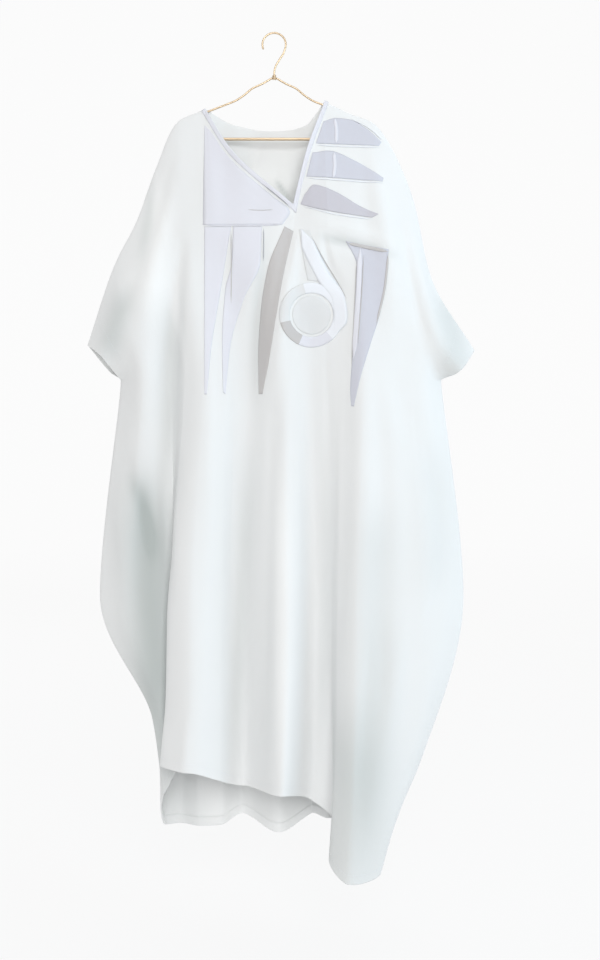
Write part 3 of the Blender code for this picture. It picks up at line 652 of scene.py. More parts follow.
def add_noise(tree, place, scale, detail=2.0):
    """A Noise texture that reads this place. It returns the socket of its value."""
    noise = tree.nodes.new("ShaderNodeTexNoise")
    noise.inputs["Scale"].default_value = scale
    noise.inputs["Detail"].default_value = detail
    tree.links.new(place, noise.inputs["Vector"])
    return noise.outputs["Fac"]


def add_bump(tree, shader, height, strength, distance):
    """A Bump node that turns a height into the shader's normal."""
    bump = tree.nodes.new("ShaderNodeBump")
    bump.inputs["Strength"].default_value = strength
    bump.inputs["Distance"].default_value = distance
    tree.links.new(height, bump.inputs["Height"])
    tree.links.new(bump.outputs["Normal"], shader.inputs["Normal"])


def cloth_place(tree):
    """The sockets of the UV map in metres, and of its u and its v."""
    place = tree.nodes.new("ShaderNodeUVMap")
    place.uv_map = "cloth"
    parts = tree.nodes.new("ShaderNodeSeparateXYZ")
    tree.links.new(place.outputs[0], parts.inputs[0])
    return place.outputs[0], parts.outputs[0], parts.outputs[1]


# %% Groups for woven and stitched threads
def pattern_group(name):
    """An empty group for a pattern of threads: two colours, a thread's width and how much the tone varies."""
    inputs = [("Light", COLOUR, (0.9, 0.9, 0.9, 1)), ("Shade", COLOUR, (0.8, 0.8, 0.8, 1)),
              ("Thread", NUMBER, 0.001), ("Variation", NUMBER, 0.5)]
    return new_group(name, inputs, [("Color", COLOUR), ("Height", NUMBER), ("Roughness", NUMBER)])


def wave(tree, distance, angle, width):
    """The sine of a distance, where each width turns it by an angle."""
    turned = calculate(tree, "DIVIDE", calculate(tree, "MULTIPLY", distance, angle), width)
    return calculate(tree, "SINE", turned)


def give_pattern(group, given, result, tone, height, roughness):
    """Mixes the light and shade colours by the tone, and links the pattern's three outputs."""
    colour = mix_colours(group, tone, given.outputs["Light"], given.outputs["Shade"])
    for title, socket in (("Color", colour), ("Height", height), ("Roughness", roughness)):
        group.links.new(socket, result.inputs[title])


def make_weave():
    """Warp and weft are two sines along u and v. Their signs' product picks which one lies on top."""
    group, given, result = pattern_group("plain_weave")
    warp, weft = [wave(group, part, np.pi, given.outputs["Thread"]) for part in cloth_place(group)[1:]]
    weave = calculate(group, "MULTIPLY", warp, weft)
    body = group.nodes.new("ShaderNodeTexCoord")
    slub = add_noise(group, body.outputs["Object"], 9.0, 3.0)
    lift = calculate(group, "MULTIPLY", slub, given.outputs["Variation"])
    tone, rough = scaled(group, weave, 0.06, lift), scaled(group, slub, 0.12, 0.74)
    give_pattern(group, given, result, tone, weave, rough)
    return group


def make_satin():
    """Threads run along v as rounded ribs, a sine of u's distance, broken by a slow noise. Painted shade: the
    grooves between ribs lean to the Shade colour.
    """
    group, given, result = pattern_group("satin_stitch")
    place, u, _ = cloth_place(group)
    waver = add_noise(group, place, 60.0)
    along = calculate(group, "ADD", u, calculate(group, "MULTIPLY", waver, 0.0012))
    turned = wave(group, along, 2 * np.pi, given.outputs["Thread"])
    rib = calculate(group, "MULTIPLY", calculate(group, "ADD", turned, 1.0), 0.5)
    dark = calculate(group, "MULTIPLY", calculate(group, "SUBTRACT", 1.0, rib), given.outputs["Variation"])
    tone = calculate(group, "ADD", dark, calculate(group, "MULTIPLY", waver, 0.25))
    give_pattern(group, given, result, tone, rib, scaled(group, waver, 0.15, 0.42))
    return group


# %% Painted shade and light group
def make_painted_shading():
    """Painted shade: the colour mixed toward a cool grey where the shade mask is high. Painted light: a faint
    emission where the light mask is high.
    """
    group, given, result = new_group(
        "painted_shade_and_light_nodes",
        [("Color", COLOUR, (0.8, 0.8, 0.8, 1)), ("Painted Shade Colour", COLOUR, (0.46, 0.50, 0.49, 1)),
         ("Painted Light Colour", COLOUR, (0.40, 0.41, 0.40, 1)), ("Shade Mask", NUMBER, 0.0), ("Painted Light Mask", NUMBER, 0.0)],
        [("Color", COLOUR), ("Emission Color", COLOUR)],
    )
    # behind is the painted shade colour, through the painted light colour, glow the painted light mask.
    colour, behind, through, shade, glow = [given.outputs[i] for i in range(5)]
    group.links.new(mix_colours(group, shade, colour, behind), result.inputs["Color"])
    group.links.new(mix_colours(group, glow, (0, 0, 0, 1), through), result.inputs["Emission Color"])
    return group


def add_light_and_shade_paint(made, group, side):
    """Puts the painted shade and light group between a fabric's pattern and its shader, driven by that side's
    masks.
    """
    tree = made.node_tree
    shader = tree.nodes["Principled BSDF"]
    depth = tree.nodes.new("ShaderNodeGroup")
    depth.node_tree = group
    tree.links.new(shader.inputs["Base Color"].links[0].from_socket, depth.inputs["Color"])
    for title, mask in (("Shade Mask", "_shade"), ("Painted Light Mask", "_glow")):
        reader = tree.nodes.new("ShaderNodeAttribute")
        reader.attribute_name = side + mask
        tree.links.new(reader.outputs["Fac"], depth.inputs[title])
    tree.links.new(depth.outputs["Color"], shader.inputs["Base Color"])
    tree.links.new(depth.outputs["Emission Color"], shader.inputs["Emission Color"])
    shader.inputs["Emission Strength"].default_value = 1.0


# %% Cloth materials
def fabric(name, group, light, shade, thread, variation, bump):
    """A Principled fabric whose colour, roughness and bump come from a weave or stitch group."""
    made, tree, shader = new_material(name)
    shader.inputs["Sheen Weight"].default_value = 0.1
    shader.inputs["Sheen Roughness"].default_value = 0.5
    shader.inputs["Specular IOR Level"].default_value = 0.25
    pattern = tree.nodes.new("ShaderNodeGroup")
    pattern.node_tree = group
    values = {"Light": (*light, 1), "Shade": (*shade, 1), "Thread": thread, "Variation": variation}
    for title, value in values.items():
        pattern.inputs[title].default_value = value
    tree.links.new(pattern.outputs["Color"], shader.inputs["Base Color"])
    tree.links.new(pattern.outputs["Roughness"], shader.inputs["Roughness"])
    add_bump(tree, shader, pattern.outputs["Height"], 0.35, bump)
    return made


WEAVE_THREAD, STITCH_THREAD = 0.0008, 0.0011
WEAVE_BUMP, STITCH_BUMP = 0.0001, 0.0003
COTTON_LIGHT, COTTON_SHADE = (0.80, 0.81, 0.81), (0.75, 0.76, 0.76)
THREAD_COLOURS = {
    "lilac": ((0.625, 0.635, 0.70), (0.535, 0.545, 0.61)),
    "heather": ((0.587, 0.578, 0.628), (0.502, 0.497, 0.547)),
    "mist": ((0.75, 0.755, 0.81), (0.68, 0.685, 0.74)),
    "smoke": ((0.57, 0.555, 0.55), (0.50, 0.485, 0.48)),
    "stone": ((0.745, 0.755, 0.76), (0.69, 0.70, 0.705)),
    "dusk": ((0.43, 0.43, 0.46), (0.37, 0.37, 0.40)),
    "pale": ((0.82, 0.84, 0.88), (0.77, 0.79, 0.83)),
}
weave_group, satin_group, shading_paint_group = make_weave(), make_satin(), make_painted_shading()
cotton = []
# Each side's cotton reads that side's masks of painted shade and painted light.
for side in ("outside", "inside"):
    name = side + "_cotton"
    cotton.append(fabric(name, weave_group, COTTON_LIGHT, COTTON_SHADE, WEAVE_THREAD, 0.5, WEAVE_BUMP))
    add_light_and_shade_paint(cotton[-1], shading_paint_group, side)
threads = {name: fabric(name + "_thread", satin_group, light, shade, STITCH_THREAD, 0.35, STITCH_BUMP)
           for name, (light, shade) in THREAD_COLOURS.items()}
print("threads:", ", ".join(threads))

# %% [markdown]
# ## Front and back
# The front and back panels replace their solids. Each hem and cuff is turned in and sewn, so the wall is
# double there. The wall's inner side has a material of its own, which reads the inner side's masks of
# painted shade and painted light.

# %% Panels
CLOTH_WALL, HEM_WALL = 0.0012, 0.0024
HEM_WIDTH = 0.018
CUFF_COLUMNS = SIDE_COLUMNS + 6


def wall_weights(grid):
    """The share of the hem's wall: all of it within a hem's width of the hem and cuff edges, else half."""
    rows, columns = grid.shape[:2]
    weight = np.full((rows, columns), CLOTH_WALL / HEM_WALL)
    from_hem = lengths_along(grid[::-1], 0)[::-1]
    weight[from_hem <= HEM_WIDTH + 0.0002] = 1.0
    column = np.arange(columns)
    at_cuff = np.minimum(column, columns - 1 - column) < CUFF_COLUMNS
    above_underarm = np.arange(rows) < UNDERARM_ROW - 4
    weight[np.outer(above_underarm, at_cuff)] = 1.0
    return weight


def make_panel(name, node, grid, facing, patches):
    """A cloth with one mask for each table of patches of painted shade and painted light. The wall's inner
    side takes the second material.
    """
    panel = grid_piece(name, grid, cloth_map(grid), facing)
    for finish in cotton:
        panel.data.materials.append(finish)
    for title, table in patches.items():
        mask = panel.data.attributes.new(title, "FLOAT", "POINT")
        mask.data.foreach_set("value", np.clip(patches_on(grid, table), 0, 1).reshape(-1).astype(np.float32))
    group = panel.vertex_groups.new(name="wall")
    weight = wall_weights(grid).reshape(-1)
    for share in (1.0, CLOTH_WALL / HEM_WALL):
        group.add(np.flatnonzero(weight == share).tolist(), share, "REPLACE")
    wall = add_wall(panel, HEM_WALL)
    wall.vertex_group = "wall"
    wall.material_offset = 1
    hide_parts(node)
    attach(panel, "root")
    return panel


def area_of(grid):
    """Sum of the cells' areas: half the length of the cross product of each cell's two diagonals."""
    first = grid[1:, 1:] - grid[:-1, :-1]
    second = grid[1:, :-1] - grid[:-1, 1:]
    return np.linalg.norm(np.cross(first, second), axis=-1).sum() / 2


# Each side's masks of painted shade and painted light.
front_panel = make_panel("front_cloth", "front_panel", front_cloth, -1, {
    "outside_shade": FRONT_SHADE, "outside_glow": FRONT_PAINTED_LIGHT,
    "inside_shade": FRONT_SHADE, "inside_glow": FRONT_PAINTED_LIGHT})
back_panel = make_panel("back_cloth", "back_panel", back_cloth, 1, {
    "outside_shade": BACK_SHADE, "outside_glow": [],
    "inside_shade": BACK_SHADE + INSIDE_SHADE, "inside_glow": INSIDE_PAINTED_LIGHT})
for title, grid in (("front", front_cloth), ("back", back_cloth)):
    widest = lengths_along(grid, 1)[ROWS_DOWN[0]:, -1].max()
    longest = lengths_along(grid, 0)[-1].max()
    print(title, "cloth area", area_of(grid).round(3), "m2, widest", widest.round(3),
          "longest", longest.round(3))

# %% [markdown]
# ## The embroidery's ground
# Each embroidered field lies on the creased front cloth. To place it, the cloth's depth is read as a height
# map: first down each column of the cloth, then across each level.

# %% Height map of the front
MAP_X = np.linspace(-0.165, 0.250, 416)
MAP_Z = np.linspace(-0.160, -0.800, 641)


def height_map(grid):
    """For each level z: x and y of every column by interpolation down it, then y at each x across them."""
    columns = [(np.interp(-MAP_Z, -c[:, 2], c[:, 0]), np.interp(-MAP_Z, -c[:, 2], c[:, 1]))
               for c in np.moveaxis(grid[4:], 1, 0)]
    x, y = np.moveaxis(np.array(columns), 0, -1)
    x = np.maximum.accumulate(x, axis=1)
    return np.array([np.interp(MAP_X, x_row, y_row) for x_row, y_row in zip(x, y)])


front_depth = height_map(front_cloth)


def on_front(x, z, lift=0.0):
    """Points on the front cloth at x and z: bilinear in the height map, moved out along the map's normal."""
    column = np.clip((x - MAP_X[0]) / (MAP_X[1] - MAP_X[0]), 0, len(MAP_X) - 1.001)
    row = np.clip((z - MAP_Z[0]) / (MAP_Z[1] - MAP_Z[0]), 0, len(MAP_Z) - 1.001)
    i, j = row.astype(int), column.astype(int)
    a, b = row - i, column - j
    d = front_depth
    y = (d[i, j] * (1 - a) * (1 - b) + d[i + 1, j] * a * (1 - b)
         + d[i, j + 1] * (1 - a) * b + d[i + 1, j + 1] * a * b)
    slope_x = (d[i, j + 1] - d[i, j]) / (MAP_X[1] - MAP_X[0])
    slope_z = (d[i + 1, j] - d[i, j]) / (MAP_Z[1] - MAP_Z[0])
    out = np.stack([slope_x, -np.ones_like(y), slope_z], axis=-1)
    out /= np.linalg.norm(out, axis=-1, keepdims=True)
    return np.stack([x, y, z], axis=-1) + out * np.asarray(lift)[..., None]


print("front depth from", front_depth.min().round(4), "to", front_depth.max().round(4))

# %% [markdown]
# ## Embroidered fields
# The fields are the long pointed knives of a boubou's front, worked in close satin stitch. Each has two
# long sides, and the stitches run from one to the other, so it is a loft between two curves with a low
# domed top.

# %% Fields in a table
Field = namedtuple("Field", "name thread side_a side_b")
FIELDS = [
    Field("yoke_field", "mist",
          [(-0.1415, -0.190), (-0.125, -0.208), (-0.101, -0.246), (-0.082, -0.269), (-0.056, -0.295),
           (-0.027, -0.320), (0.003, -0.345), (0.033, -0.373), (0.018, -0.3995)],
          [(-0.142, -0.191), (-0.142, -0.300), (-0.142, -0.3995)]),
    Field("knife_across_high", "lilac",
          [(0.101, -0.183), (0.126, -0.175), (0.152, -0.177), (0.190, -0.197), (0.219, -0.224)],
          [(0.085, -0.231), (0.150, -0.232), (0.214, -0.233)]),
    Field("knife_across_middle", "lilac",
          [(0.078, -0.251), (0.112, -0.246), (0.166, -0.267), (0.222, -0.301)],
          [(0.066, -0.301), (0.140, -0.305), (0.220, -0.309)]),
    Field("knife_across_low", "heather",
          [(0.062, -0.338), (0.082, -0.318), (0.121, -0.331), (0.173, -0.361), (0.211, -0.378)],
          [(0.054, -0.358), (0.080, -0.366), (0.129, -0.376), (0.198, -0.385)]),
    Field("knife_down_left", "mist",
          [(-0.139, -0.403), (-0.1385, -0.580), (-0.1375, -0.740)],
          [(-0.085, -0.403), (-0.109, -0.551), (-0.123, -0.641), (-0.132, -0.740)]),
    Field("knife_down_middle", "mist",
          [(-0.081, -0.403), (-0.084, -0.475), (-0.097, -0.531), (-0.103, -0.631), (-0.101, -0.736)],
          [(-0.023, -0.403), (-0.026, -0.476), (-0.060, -0.551), (-0.086, -0.641), (-0.096, -0.740)]),
    # Painted shade: the curved knife's darker smoke thread stands for the fold valley it lies in.
    Field("knife_down_curved", "smoke",
          [(0.022, -0.403), (-0.012, -0.490), (-0.026, -0.580), (-0.031, -0.665), (-0.030, -0.739)],
          [(0.040, -0.413), (0.020, -0.503), (0.005, -0.587), (-0.008, -0.668), (-0.022, -0.739)]),
    Field("knife_down_right", "lilac",
          [(0.144, -0.433), (0.163, -0.470), (0.172, -0.510), (0.162, -0.618), (0.153, -0.731),
           (0.155, -0.763)],
          [(0.230, -0.450), (0.224, -0.524), (0.211, -0.584), (0.193, -0.640), (0.171, -0.714),
           (0.160, -0.764)]),
    Field("roundel_tail", "stone",
          [(0.051, -0.409), (0.059, -0.465), (0.068, -0.512)],
          [(0.073, -0.412), (0.084, -0.465), (0.097, -0.515)]),
]


def evenly(points, count):
    """Points at even distances along the smooth curve through a few points."""
    knots = np.array(points, float)
    fine = smooth(knots, np.linspace(0, len(knots) - 1, 400))
    run = np.concatenate([[0], np.cumsum(np.linalg.norm(np.diff(fine, axis=0), axis=1))])
    spots = np.linspace(0, run[-1], count)
    return np.stack([np.interp(spots, run, fine[:, i]) for i in (0, 1)], axis=1)


def raised(base, rise, *shares):
    """A base plus a rise times the root of the shares' domes: one less the sixth power of 2 share - 1."""
    height = 1.0
    for share in shares:
        height = height * (1 - np.abs(2 * share - 1)**6)
    return base + rise * np.sqrt(np.clip(height, 0, 1))


def stitch_map(grid):
    """UV in metres: the mean distance along the piece's rows, and the distance across it."""
    along = np.broadcast_to(lengths_along(grid, 0).mean(1)[:, None], grid.shape[:2])
    return np.stack([along, lengths_along(grid, 1)], axis=-1)


def field_grid(side_a, side_b, columns, base, rise):
    """Straight lines from side to side, on the cloth, lifted by a base plus the rise times the two domes."""
    down = np.linspace(0, 1, len(side_a))[:, None]
    across = np.linspace(0, 1, columns)[None, :]
    flat = side_a[:, None] + (side_b - side_a)[:, None] * across[..., None]
    return on_front(flat[..., 0], flat[..., 1], raised(base, rise, down, across))


def facing_of(grid):
    """-1 where down cross across already points to -Y, and +1 where the faces must be turned to do so."""
    middle = grid.shape[0] // 2, grid.shape[1] // 2
    down = grid[middle[0] + 1, middle[1]] - grid[middle]
    right = grid[middle[0], middle[1] + 1] - grid[middle]
    return -1 if np.cross(down, right)[1] < 0 else 1


FIELD_BASE, FIELD_RISE, FIELD_WALL = 0.00045, 0.0009, 0.0004
FIELD_ROWS, FIELD_COLUMNS = 110, 22
sewn_on_front = []


def sew_on(name, grid, uv, thread, slot, wall=FIELD_WALL, node=None, **closing):
    """Makes a raised piece with its thread and wall, and adds it to those that go with the front."""
    piece = grid_piece(name, grid, uv, facing_of(grid), **closing)
    piece.data.materials.append(threads[thread])
    add_wall(piece, wall)
    if node:
        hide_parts(node)
    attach(piece, "root")
    sewn_on_front.append(piece)
    return piece


for field in FIELDS:
    sides = [evenly(side, FIELD_ROWS) for side in (field.side_a, field.side_b)]
    grid = field_grid(*sides, FIELD_COLUMNS, FIELD_BASE, FIELD_RISE)
    slot = "pale_embroidery" if field.name == "roundel_tail" else "lilac_embroidery"
    sew_on(field.name + "_stitch", grid, stitch_map(grid), field.thread, slot, node=field.name)
print("fields:", len(sewn_on_front), "with", triangles_of(sewn_on_front[0]), "triangles each")

# %% [markdown]
# ## The roundel
# A disc of stitches sits inside a raised ring, below the neck. On the disc the stitches fan round the
# middle. The ring's left and lower sectors take darker threads: painted shade on the side away from the
# light.

# %% Roundel
ROUNDEL_X, ROUNDEL_Z = 0.076, -0.581


DISC_HOLE, DISC_RADIUS = 0.0008, 0.0385
RING_INNER, RING_OUTER, RING_RISE = 0.0435, 0.0645, 0.0014
Sector = namedtuple("Sector", "thread first last")
# Painted shade: darker threads on the ring's left and lower sides.
RING_SHADE_SECTORS = [Sector("stone", 105, 195), Sector("smoke", 195, 246), Sector("mist", 246, 312)]


def round_grid(inner, outer, rows, columns, rise):
    """Rings from the inner radius to the outer one, and their map: distance round the rim, and the radius."""
    turn = np.linspace(0, 2 * np.pi, columns, endpoint=False)[None, :]
    share = np.linspace(0, 1, rows)[:, None]
    radius = inner + (outer - inner) * share
    x, z = ROUNDEL_X + radius * np.cos(turn), ROUNDEL_Z + radius * np.sin(turn)
    lift = raised(FIELD_BASE, rise, share if inner > DISC_HOLE else 0.5 + share / 2)
    grid = on_front(x, z, np.broadcast_to(lift, x.shape))
    return grid, np.stack([np.broadcast_to(values, x.shape) for values in (turn * outer, radius)], axis=-1)


disc_grid, disc_uv = round_grid(DISC_HOLE, DISC_RADIUS, 26, 96, FIELD_RISE)
sew_on("roundel_disc_stitch", disc_grid, disc_uv, "stone", "pale_embroidery", node="roundel_disc",
       closed=True, pole=True)
ring_grid, ring_uv = round_grid(RING_INNER, RING_OUTER, 20, 120, RING_RISE)
ring = sew_on("roundel_ring_stitch", ring_grid, ring_uv, "pale", "pale_embroidery", node="roundel_ring",
              closed=True)
centres = np.array([face.center for face in ring.data.polygons])
turns = np.degrees(np.arctan2(centres[:, 2] - ROUNDEL_Z, centres[:, 0] - ROUNDEL_X)) % 360
choice = np.zeros(len(turns), dtype=np.int32)
for number, sector in enumerate(RING_SHADE_SECTORS, 1):
    ring.data.materials.append(threads[sector.thread])
    choice[(turns > sector.first) & (turns < sector.last)] = number
ring.data.polygons.foreach_set("material_index", choice)
print("roundel: disc, and a ring in", len(RING_SHADE_SECTORS) + 1, "threads")

# %% [markdown]
# ## Neck band
# A narrow embroidered band follows the front's neck edge, down to the V and up again.

# %% Neck band
BAND_WIDTH, BAND_ROWS, BAND_COLUMNS = 0.009, 200, 10


def column_of(fold):
    """The number of the cloth's column at a fold."""
    return SIDE_COLUMNS + fold * COLUMNS_A_FOLD


def neck_band_grid(cloth):
    """The neck edge's points, moved inward by the edge's own normal in the picture plane, on the cloth."""
    edge = cloth[0, column_of(NECK_FIRST):column_of(NECK_LAST) + 1][:, [0, 2]]
    middle = (len(edge) - 1) // 2
    halves = []
    for half in (edge[:middle + 1], edge[middle:]):
        run = np.concatenate([[0], np.cumsum(np.linalg.norm(np.diff(half, axis=0), axis=1))])
        spots = np.linspace(0, run[-1], BAND_ROWS // 2)
        halves.append(np.stack([np.interp(spots, run, half[:, i]) for i in (0, 1)], axis=1))
    line = np.concatenate([halves[0], halves[1][1:]])
    steps = np.diff(line, axis=0)
    steps /= np.linalg.norm(steps, axis=1, keepdims=True)
    sides = np.stack([-steps[:, 1], steps[:, 0]], axis=1)
    before, after = np.concatenate([sides[:1], sides]), np.concatenate([sides, sides[-1:]])
    mitre = -(before + after) / (1 + np.sum(before * after, axis=1, keepdims=True))
    share = np.linspace(0, 1, BAND_COLUMNS)[None, :]
    flat = line[:, None] + mitre[:, None] * BAND_WIDTH * share[..., None]
    lift = np.broadcast_to(raised(FIELD_BASE, FIELD_RISE, share), flat.shape[:2])
    return on_front(flat[..., 0], flat[..., 1], lift)


band_grid = neck_band_grid(front_cloth)
sew_on("neck_band_stitch", band_grid, stitch_map(band_grid), "mist", "pale_embroidery", node="neck_band")
print("neck band length", lengths_along(band_grid, 0)[-1, 0].round(3), "m")

# %% [markdown]
# ## Cords
# Thin laid cords edge the fields and split them, and two darker lines part the long knives. Three more dark
# cords are painted shadow: along the V's inner edge, under the flap's edge, and at the right knife's outer
# edge, where the dark line is partly that knife's embroidered edge. A cord is a narrow field: its two sides
# run beside a line, half a width away.

# %% Cords in a table
Cord = namedtuple("Cord", "name thread width lift line")
CORDS = [
    Cord("under_high", "pale", 0.0030, 0.0006, [(0.086, -0.2345), (0.150, -0.2360), (0.216, -0.2362)]),
    Cord("under_middle", "pale", 0.0030, 0.0006, [(0.067, -0.3045), (0.140, -0.3085), (0.221, -0.3125)]),
    Cord("under_low", "pale", 0.0026, 0.0006, [(0.060, -0.3630), (0.129, -0.3800), (0.200, -0.3885)]),
    Cord("split_high", "mist", 0.0070, 0.0014, [(0.124, -0.177), (0.127, -0.205), (0.126, -0.230)]),
    Cord("split_middle", "mist", 0.0070, 0.0014, [(0.122, -0.250), (0.123, -0.278), (0.120, -0.304)]),
    Cord("knife_line_left", "smoke", 0.0022, 0.0012, [(-0.085, -0.412), (-0.084, -0.480), (-0.085, -0.560)]),
    Cord("knife_line_middle", "dusk", 0.0018, 0.0014,
         [(-0.020, -0.408), (-0.0195, -0.440), (-0.020, -0.474)]),
    Cord("yoke_line", "smoke", 0.0014, 0.0014, [(-0.051, -0.3695), (-0.026, -0.3705), (-0.001, -0.3695)]),
    Cord("yoke_foot", "mist", 0.0030, 0.0005, [(-0.141, -0.4008), (-0.060, -0.4010), (0.016, -0.4008)]),
    # Painted shadow of the V's edge and of the flap's edge; the third is the right knife's dark edge and
    # painted shadow.
    Cord("neck_painted_shadow", "dusk", 0.0020, 0.0014, [(-0.018, -0.3200), (0.008, -0.3415), (0.031, -0.3615)]),
    Cord("flap_painted_shadow", "smoke", 0.0070, 0.0014, [(0.148, -0.437), (0.190, -0.446), (0.229, -0.455)]),
    Cord("outer_edge_and_shadow", "smoke", 0.0045, 0.0014, [(0.229, -0.458), (0.223, -0.520), (0.205, -0.600)]),
    Cord("inner_knife", "mist", 0.0110, 0.0014, [(0.1735, -0.446), (0.1700, -0.530), (0.1600, -0.670)]),
    Cord("inner_line_left", "smoke", 0.0018, 0.0012, [(0.1660, -0.466), (0.1630, -0.540), (0.1560, -0.680)]),
    Cord("inner_line_right", "smoke", 0.0018, 0.0016, [(0.1800, -0.462), (0.1765, -0.530), (0.1680, -0.640)]),
    Cord("tail_bend", "pale", 0.0280, 0.0014,
         [(0.056, -0.410), (0.078, -0.462), (0.101, -0.506), (0.128, -0.546), (0.134, -0.584),
          (0.120, -0.624)]),
    Cord("tail_line", "smoke", 0.0020, 0.0010,
         [(0.076, -0.424), (0.100, -0.470), (0.124, -0.508), (0.146, -0.548)]),
    Cord("outer_high", "pale", 0.0024, 0.0006, [(0.158, -0.1765), (0.192, -0.1940), (0.2225, -0.2215)]),
]


def beside(line, distance):
    """A line's points moved sideways: distance times the unit normal of its own direction."""
    along = np.gradient(line, axis=0)
    along /= np.linalg.norm(along, axis=1, keepdims=True)
    return line + np.stack([-along[:, 1], along[:, 0]], axis=1) * distance


CORD_ROWS, CORD_COLUMNS, CORD_RISE, CORD_WALL = 90, 7, 0.0008, 0.0003
TAPER_ROWS, THINNEST = 12, 0.12
from_end = np.minimum(np.arange(CORD_ROWS), CORD_ROWS - 1 - np.arange(CORD_ROWS))
taper = np.clip(from_end / TAPER_ROWS, THINNEST, 1)[:, None]
for cord in CORDS:
    line = evenly(cord.line, CORD_ROWS)
    sides = [beside(line, side * cord.width / 2 * taper) for side in (1, -1)]
    grid = field_grid(*sides, CORD_COLUMNS, cord.lift, CORD_RISE)
    slot = "pale_embroidery" if cord.thread == "pale" else "lilac_embroidery"
    sew_on(cord.name + "_cord", grid, stitch_map(grid), cord.thread, slot, CORD_WALL)
print("cords:", len(CORDS))

# %% [markdown]
# ## Hem and neck stitches
# Small even stitches hold the turned hems and the neck edges. Each is a thin six-cornered bead with two
# long ends, set along a row of the cloth's own grid, so that it follows every fold.

# %% Stitches
STITCH_STEP, STITCH_LENGTH, STITCH_RADIUS = 0.0050, 0.0034, 0.00035


def face_outward(mesh, rings=()):
    """Closes each ring of points with a face, then turns every face outwards."""
    shape = bmesh.new()
    shape.from_mesh(mesh)
    shape.verts.ensure_lookup_table()
    for ring in rings:
        shape.faces.new([shape.verts[i] for i in ring])
    bmesh.ops.recalc_face_normals(shape, faces=shape.faces)
    shape.to_mesh(mesh)
    shape.free()
    mesh.shade_smooth()


def stitch_row(name, line, normals):
    """Beads at equal steps: two ends along the line, and four corners round the middle by its normals."""
    run = np.concatenate([[0], np.cumsum(np.linalg.norm(np.diff(line, axis=0), axis=1))])
    spots = np.arange(STITCH_STEP, run[-1] - STITCH_STEP, STITCH_STEP)
    middle, out, ahead = [np.stack([np.interp(spots, run, values[:, i]) for i in range(3)], axis=1)
                          for values in (line, normals, np.gradient(line, axis=0))]
    ahead /= np.linalg.norm(ahead, axis=1, keepdims=True)
    side = np.cross(ahead, out)
    middle = middle + out * STITCH_RADIUS * 0.6
    ends = [middle - ahead * STITCH_LENGTH / 2, middle + ahead * STITCH_LENGTH / 2]
    ring = [middle + way * STITCH_RADIUS for way in (side, out, -side, -out)]
    corners = np.stack(ends + ring, axis=1)
    bead = [(0, 2, 3), (0, 3, 4), (0, 4, 5), (0, 5, 2), (1, 3, 2), (1, 4, 3), (1, 5, 4), (1, 2, 5)]
    faces = np.array(bead)[None] + 6 * np.arange(len(spots))[:, None, None]
    mesh = bpy.data.meshes.new(name)
    mesh.from_pydata(corners.reshape(-1, 3), [], faces.reshape(-1, 3))
    face_outward(mesh)
    mesh.uv_layers.new(name="cloth")
    mesh.materials.append(threads["pale"])
    piece = bpy.data.objects.new(name, mesh)
    bpy.context.scene.collection.objects.link(piece)
    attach(piece, "root")
    return piece


stitches = {"front": [], "back": []}
for title, cloth, facing in (("front", front_cloth, -1), ("back", back_cloth, 1)):
    out = normals_of(cloth, facing)
    above_underarm = slice(6, UNDERARM_ROW - 8)
    neck = slice(column_of(NECK_FIRST) + 12, column_of(NECK_LAST) - 12)
    rows = {"hem": (-7, slice(8, -8)), "cuff_left": (above_underarm, CUFF_COLUMNS), "neck": (8, neck),
            "cuff_right": (above_underarm, -1 - CUFF_COLUMNS)}
    for place, spot in rows.items():
        stitches[title].append(stitch_row(title + "_" + place + "_stitches", cloth[spot], out[spot]))
print("stitch rows:", {title: len(pieces) for title, pieces in stitches.items()})

# %% [markdown]
# ## The wire hanger
# One wire makes the hook and stem, two wires slope out as the arms, and a thicker bar joins their ends. A
# wire is a circle carried along a smooth path. A bevelled curve object would do it too, but a mesh takes a
# UV map along the wire.

# %% Wires
def tube_grid(path, radius, sides=16):
    """Circles round a path in the plane y = 0, with rings of falling size at both ends to close it."""
    path = np.asarray(path, float)
    radius = np.full(len(path), radius)
    along = np.gradient(path, axis=0)
    along /= np.linalg.norm(along, axis=1, keepdims=True)
    cap = np.sin(np.linspace(0.06, 1, 5) * np.pi / 2)
    reach = 1 - np.cos(np.linspace(0.06, 1, 5) * np.pi / 2)
    head = path[0] + along[0] * (reach[:, None] - 1) * radius[0]
    tail = path[-1] - along[-1] * (reach[::-1, None] - 1) * radius[-1]
    centre = np.concatenate([head[:-1], path, tail[1:]])
    size = np.concatenate([radius[0] * cap[:-1], radius, radius[-1] * cap[::-1][1:]])
    tangent = np.concatenate([np.tile(along[:1], (4, 1)), along, np.tile(along[-1:], (4, 1))])
    side = np.cross(tangent, [0.0, 1.0, 0.0])
    side /= np.linalg.norm(side, axis=1, keepdims=True)
    other = np.cross(tangent, side)
    turn = np.linspace(0, 2 * np.pi, sides, endpoint=False)[None, :, None]
    rings = np.cos(turn) * side[:, None] + np.sin(turn) * other[:, None]
    return centre[:, None] + size[:, None, None] * rings


# %% [markdown]
# ## Gold wire finish
# The hanger is plated steel with a satin gold finish: warm, not mirror-bright, with faint lines along the
# wire where it was drawn through a die, and slightly duller patches where it is handled.

